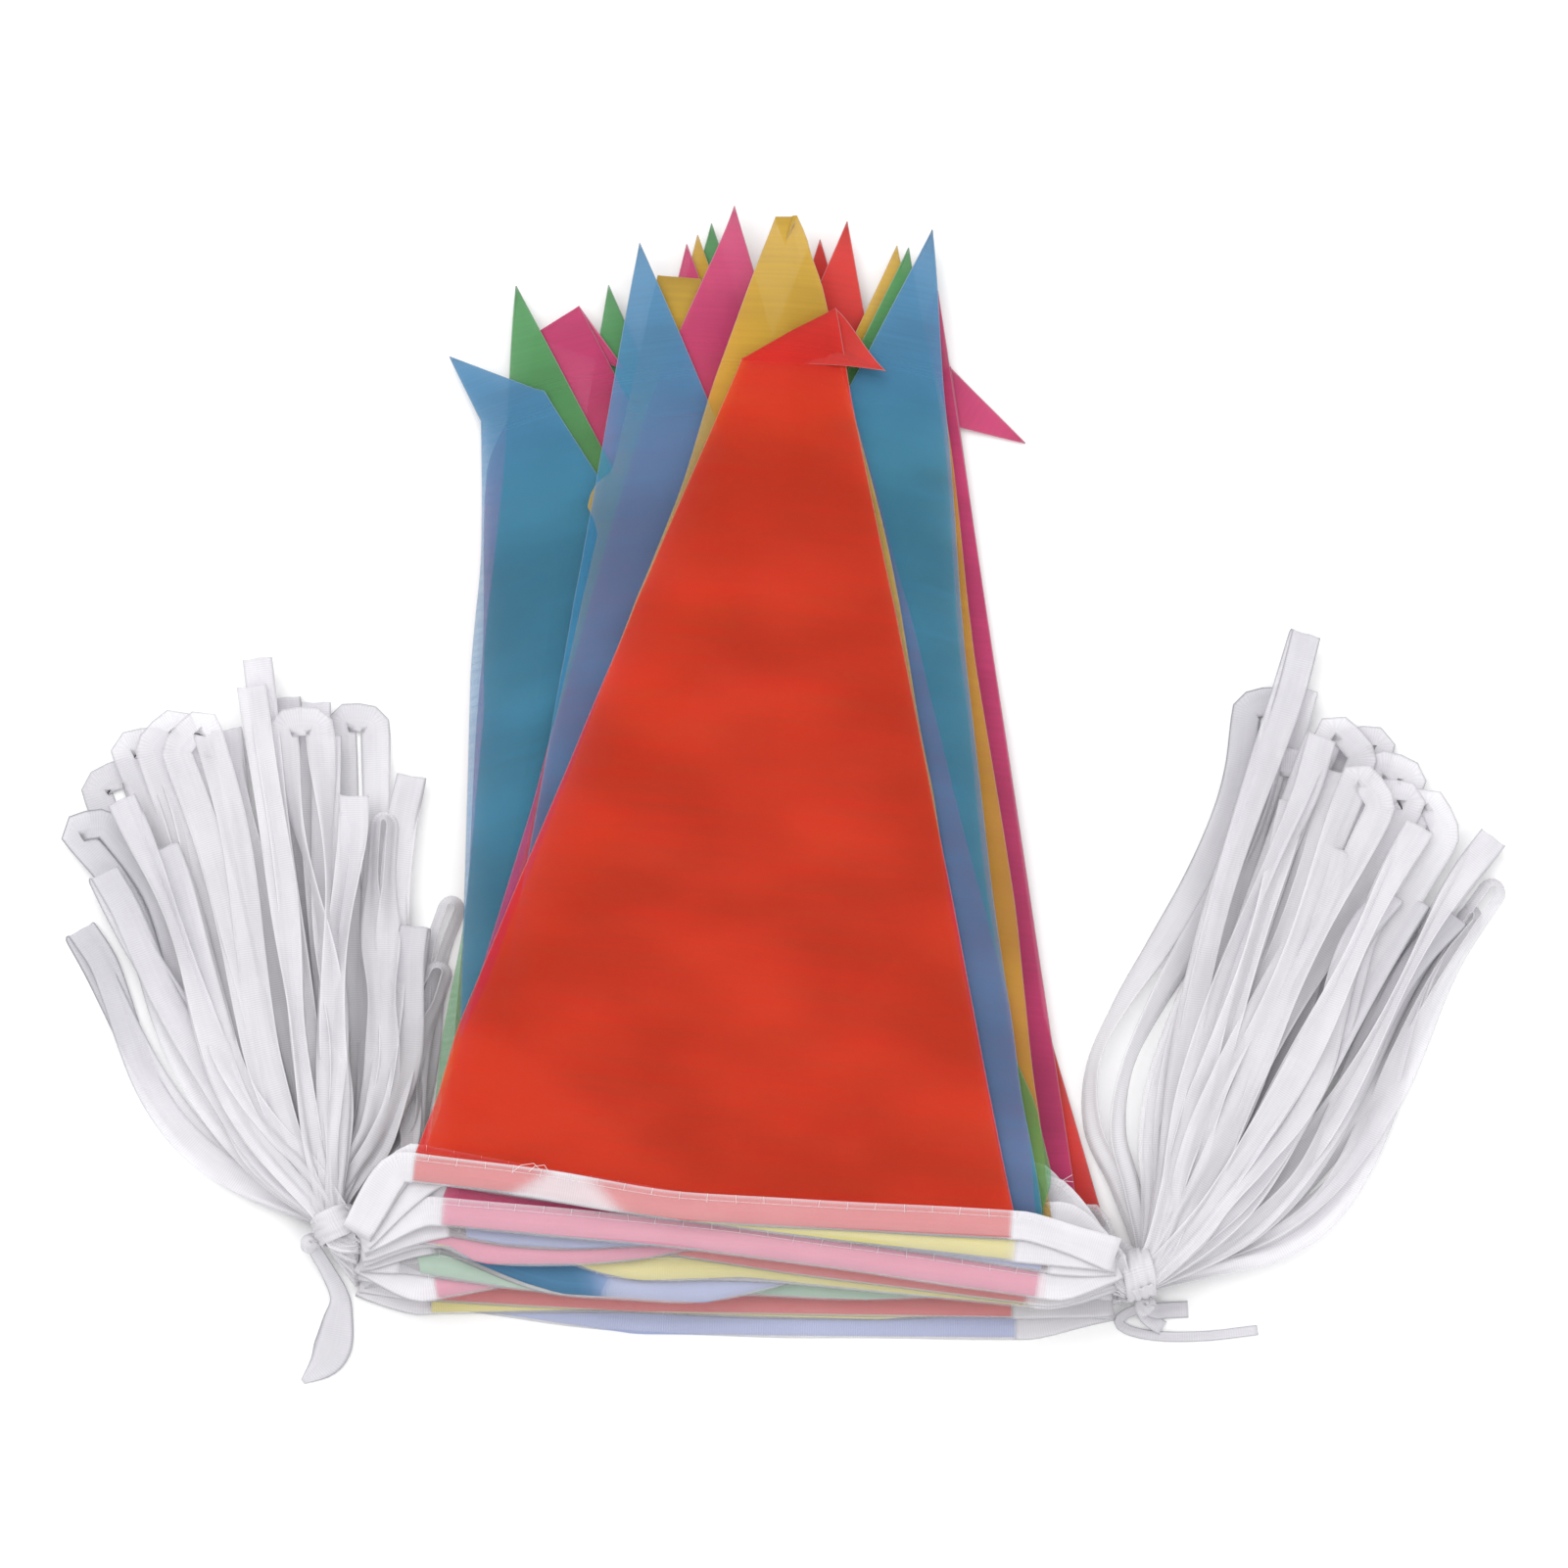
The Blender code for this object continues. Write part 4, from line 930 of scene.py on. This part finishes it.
def bunch(name, table, neck, gathers, seed):
    """All the loops of one bunch as one piece."""
    chance = np.random.default_rng(seed)
    neck = dict(zip(NECK_COLUMNS, neck))
    selvedge = np.zeros(CROSS)
    selvedge[[0, -1]] = 1.0
    grids, length = [], 0.0
    for k, values in enumerate(table):
        row = dict(zip(LOOP_COLUMNS, values))
        layer, place = divmod(k, LOOPS_A_LAYER)
        out, back = loop_runs(chance, row, layer, place, neck, gathers)
        ahead = unit(out[-1, :2] - out[-2, :2])
        turn = loop_turn(out, back, row["end"], ahead)
        line = np.concatenate((out, turn, back))
        grid, flat, run = ribbon(chance, line, row["end"], len(out) + len(turn) // 2, ahead)
        # At its end, and at the sides of the bunch, a loop lies alone: there it is painted grey as shade,
        # with a darker painted line along its selvedges, less so in the upper layers and where it stands on
        # edge.
        outer = 1.0 if place in (0, LOOPS_A_LAYER - 1) else 0.0
        single = smooth((line[:, 3] - 0.35) / 0.4) * max(0.0, 0.75 * outer - 0.15 * layer)
        single = np.clip(single + smooth((line[:, 3] - 0.8) / 0.2) * (0.55 - 0.12 * layer), 0, 1)
        eye = row["end"] == EYE
        marks = {"cut": selvedge * (0.5 if eye else 1.0), "single": single[:, None] * (0.3 if eye else 1.0)}
        grids.append((grid, flat, {**marks, "close": 0.3}))
        length += run
    piece = cloth_piece("tape_loops_" + name, grids, loop_tape, LOOP_THICK, ["loops_" + name])
    length * MM


bunch("left", LEFT_LOOPS, LEFT_NECK, LEFT_GATHER, seed=4)
bunch("right", RIGHT_LOOPS, RIGHT_NECK, RIGHT_GATHER, seed=9)

# --- ties -----------------------------------------------------------------------------------------
# The tape's own end is wound round each neck in soft pleats, pulled up in a knot, and its free ends
# lie down to the table.
WRAP_TURNS = 2.4
WRAP_WIDE = 7.0
WRAP_CLEAR = 0.7
WRAP_START = -1.6
# A neck is a box with rounded corners: below 1 its outline is squarer than a circle.
WRAP_ROUND = 0.75
KNOT = np.array((2.9, 2.9, 3.4))
TAIL_STEP = 1.6
TAIL_CROSS = 7
TAIL_CURL = 0.35
LEFT_KNOT = np.array((-126.4, -81.8, 8.0))
LEFT_TAILS = (
    # x, y, underside and width along each tail
    ((-126.0, -82.4, 7.0, 4.0), (-121.4, -90.0, 3.5, 4.5), (-117.8, -97.7, 1.0, 6.0),
     (-118.4, -105.0, 0.0, 9.5), (-119.8, -112.4, 0.0, 11.5), (-122.7, -117.8, 0.0, 9.0),
     (-128.9, -123.1, 0.0, 1.5)),
)
RIGHT_KNOT = np.array((125.6, -100.8, 8.0))
RIGHT_TAILS = (
    ((125.6, -101.2, 7.0, 4.0), (129.0, -101.9, 3.0, 5.0), (132.5, -101.4, 0.0, 5.0),
     (139.0, -101.1, 0.0, 5.0)),
    ((124.6, -101.2, 6.0, 4.0), (126.0, -103.4, 3.2, 4.6), (128.4, -105.2, 1.4, 4.6),
     (131.2, -106.9, 0.6, 4.6)),
    ((123.8, -101.4, 5.0, 3.0), (119.6, -102.9, 1.2, 3.0), (118.0, -104.8, 0.0, 3.0),
     (120.6, -107.3, 0.0, 3.0), (129.7, -109.2, 0.0, 3.0), (144.0, -109.2, 0.0, 3.0),
     (160.0, -107.4, 0.0, 3.0)),
)


def wrap(neck):
    """The turns of tape round a neck, flattened as it is."""
    along = unit(neck["second"] - neck["first"])
    across = np.array((along[1], -along[0]))
    middle = (neck["first"] + neck["second"]) / 2
    angle, offset = np.meshgrid(np.linspace(WRAP_START, 2 * math.pi * WRAP_TURNS + WRAP_START, 110),
                                np.linspace(-0.5, 0.5, 13), indexing="ij")
    turn = angle / (2 * math.pi)
    clear = WRAP_CLEAR + 0.3 * turn + 0.32 * np.sin(offset * 17.0 + 1.3 * np.sin(angle) + turn)
    clear += 0.5 * np.cos(offset * math.pi) - 0.2
    x, z = (np.copysign(np.abs(part) ** WRAP_ROUND, part) * (neck[size] / 2 + clear)
            for part, size in ((np.cos(angle), "wide"), (np.sin(angle), "high")))
    reach = offset * WRAP_WIDE + 1.6 * np.sin(0.7 * angle)
    plan = middle + across * x[..., None] + along * reach[..., None]
    grid = np.concatenate((plan, (neck["low"] + neck["high"] / 2 + z)[..., None]), -1)
    flat = np.stack((angle * 9.0, (offset + 0.5) * TAPE_WIDE), -1)
    grid[..., 2] = np.maximum(grid[..., 2], LOOP_THICK)
    return grid, flat


def knot_grid(middle):
    """The knot, a soft lump of crossed tape."""
    round_it, up = np.meshgrid(np.linspace(0, 2 * math.pi, 25), np.linspace(-1.5, 1.5, 13), indexing="ij")
    size = 1 + 0.14 * np.sin(2 * round_it + 4 * up) + 0.05 * np.sin(7 * up - round_it)
    ball = np.stack((np.cos(up) * np.cos(round_it), np.cos(up) * np.sin(round_it), np.sin(up)), -1)
    return middle + ball * size[..., None] * KNOT, np.stack((round_it * 2.6, up * 2.8), -1)


def tail_grid(values):
    """A free end of the tape, its edges a little curled."""
    line = spline([(x, y, low + 0.5, wide) for x, y, low, wide in values], TAIL_STEP)
    heading = np.gradient(line[:, :2], axis=0)
    heading /= np.hypot(*heading.T)[:, None]
    offsets = np.linspace(-0.5, 0.5, TAIL_CROSS)
    run = np.arange(len(line)) * TAIL_STEP
    side = np.stack((heading[:, 1], -heading[:, 0]), -1)
    grid = np.empty((len(line), TAIL_CROSS, 3))
    grid[..., :2] = line[:, None, :2] + side[:, None] * (offsets[None, :, None] * line[:, None, 3:])
    curl = TAIL_CURL * np.abs(np.sin(offsets[None] * 5.0 + 0.12 * run[:, None])) * line[:, 3:] / 5
    grid[..., 2] = np.maximum(line[:, None, 2] + curl, LOOP_THICK)
    return grid, np.stack(np.broadcast_arrays(run[:, None], (offsets[None] + 0.5) * TAPE_WIDE), -1)


def tie(name, neck, middle, tails):
    """The turns round a neck, the knot and the tails as one piece."""
    grids, area = [], 0.0
    # The knot takes a little of the tape's painted grey shade, and the tails, lying alone, much of it with
    # darker painted edges.
    parts = [(wrap(dict(zip(NECK_COLUMNS, neck))), 0.0), (knot_grid(middle), 0.1)]
    parts += [(tail_grid(values), 0.75) for values in tails]
    for (grid, flat), single in parts:
        edge = np.zeros(grid.shape[1])
        edge[[0, -1]] = 1.0
        grids.append((grid, flat, {"cut": edge * (single > 0.5), "single": single, "close": 0.6}))
        steps, across = np.diff(grid, axis=0)[:, :-1], np.diff(grid, axis=1)[:-1]
        area += np.linalg.norm(np.cross(steps, across), axis=-1).sum()
    piece = cloth_piece("tie_tape_" + name, grids, loop_tape, LOOP_THICK, ["tie_" + name])


tie("left", LEFT_NECK, LEFT_KNOT, LEFT_TAILS)
tie("right", RIGHT_NECK, RIGHT_KNOT, RIGHT_TAILS)
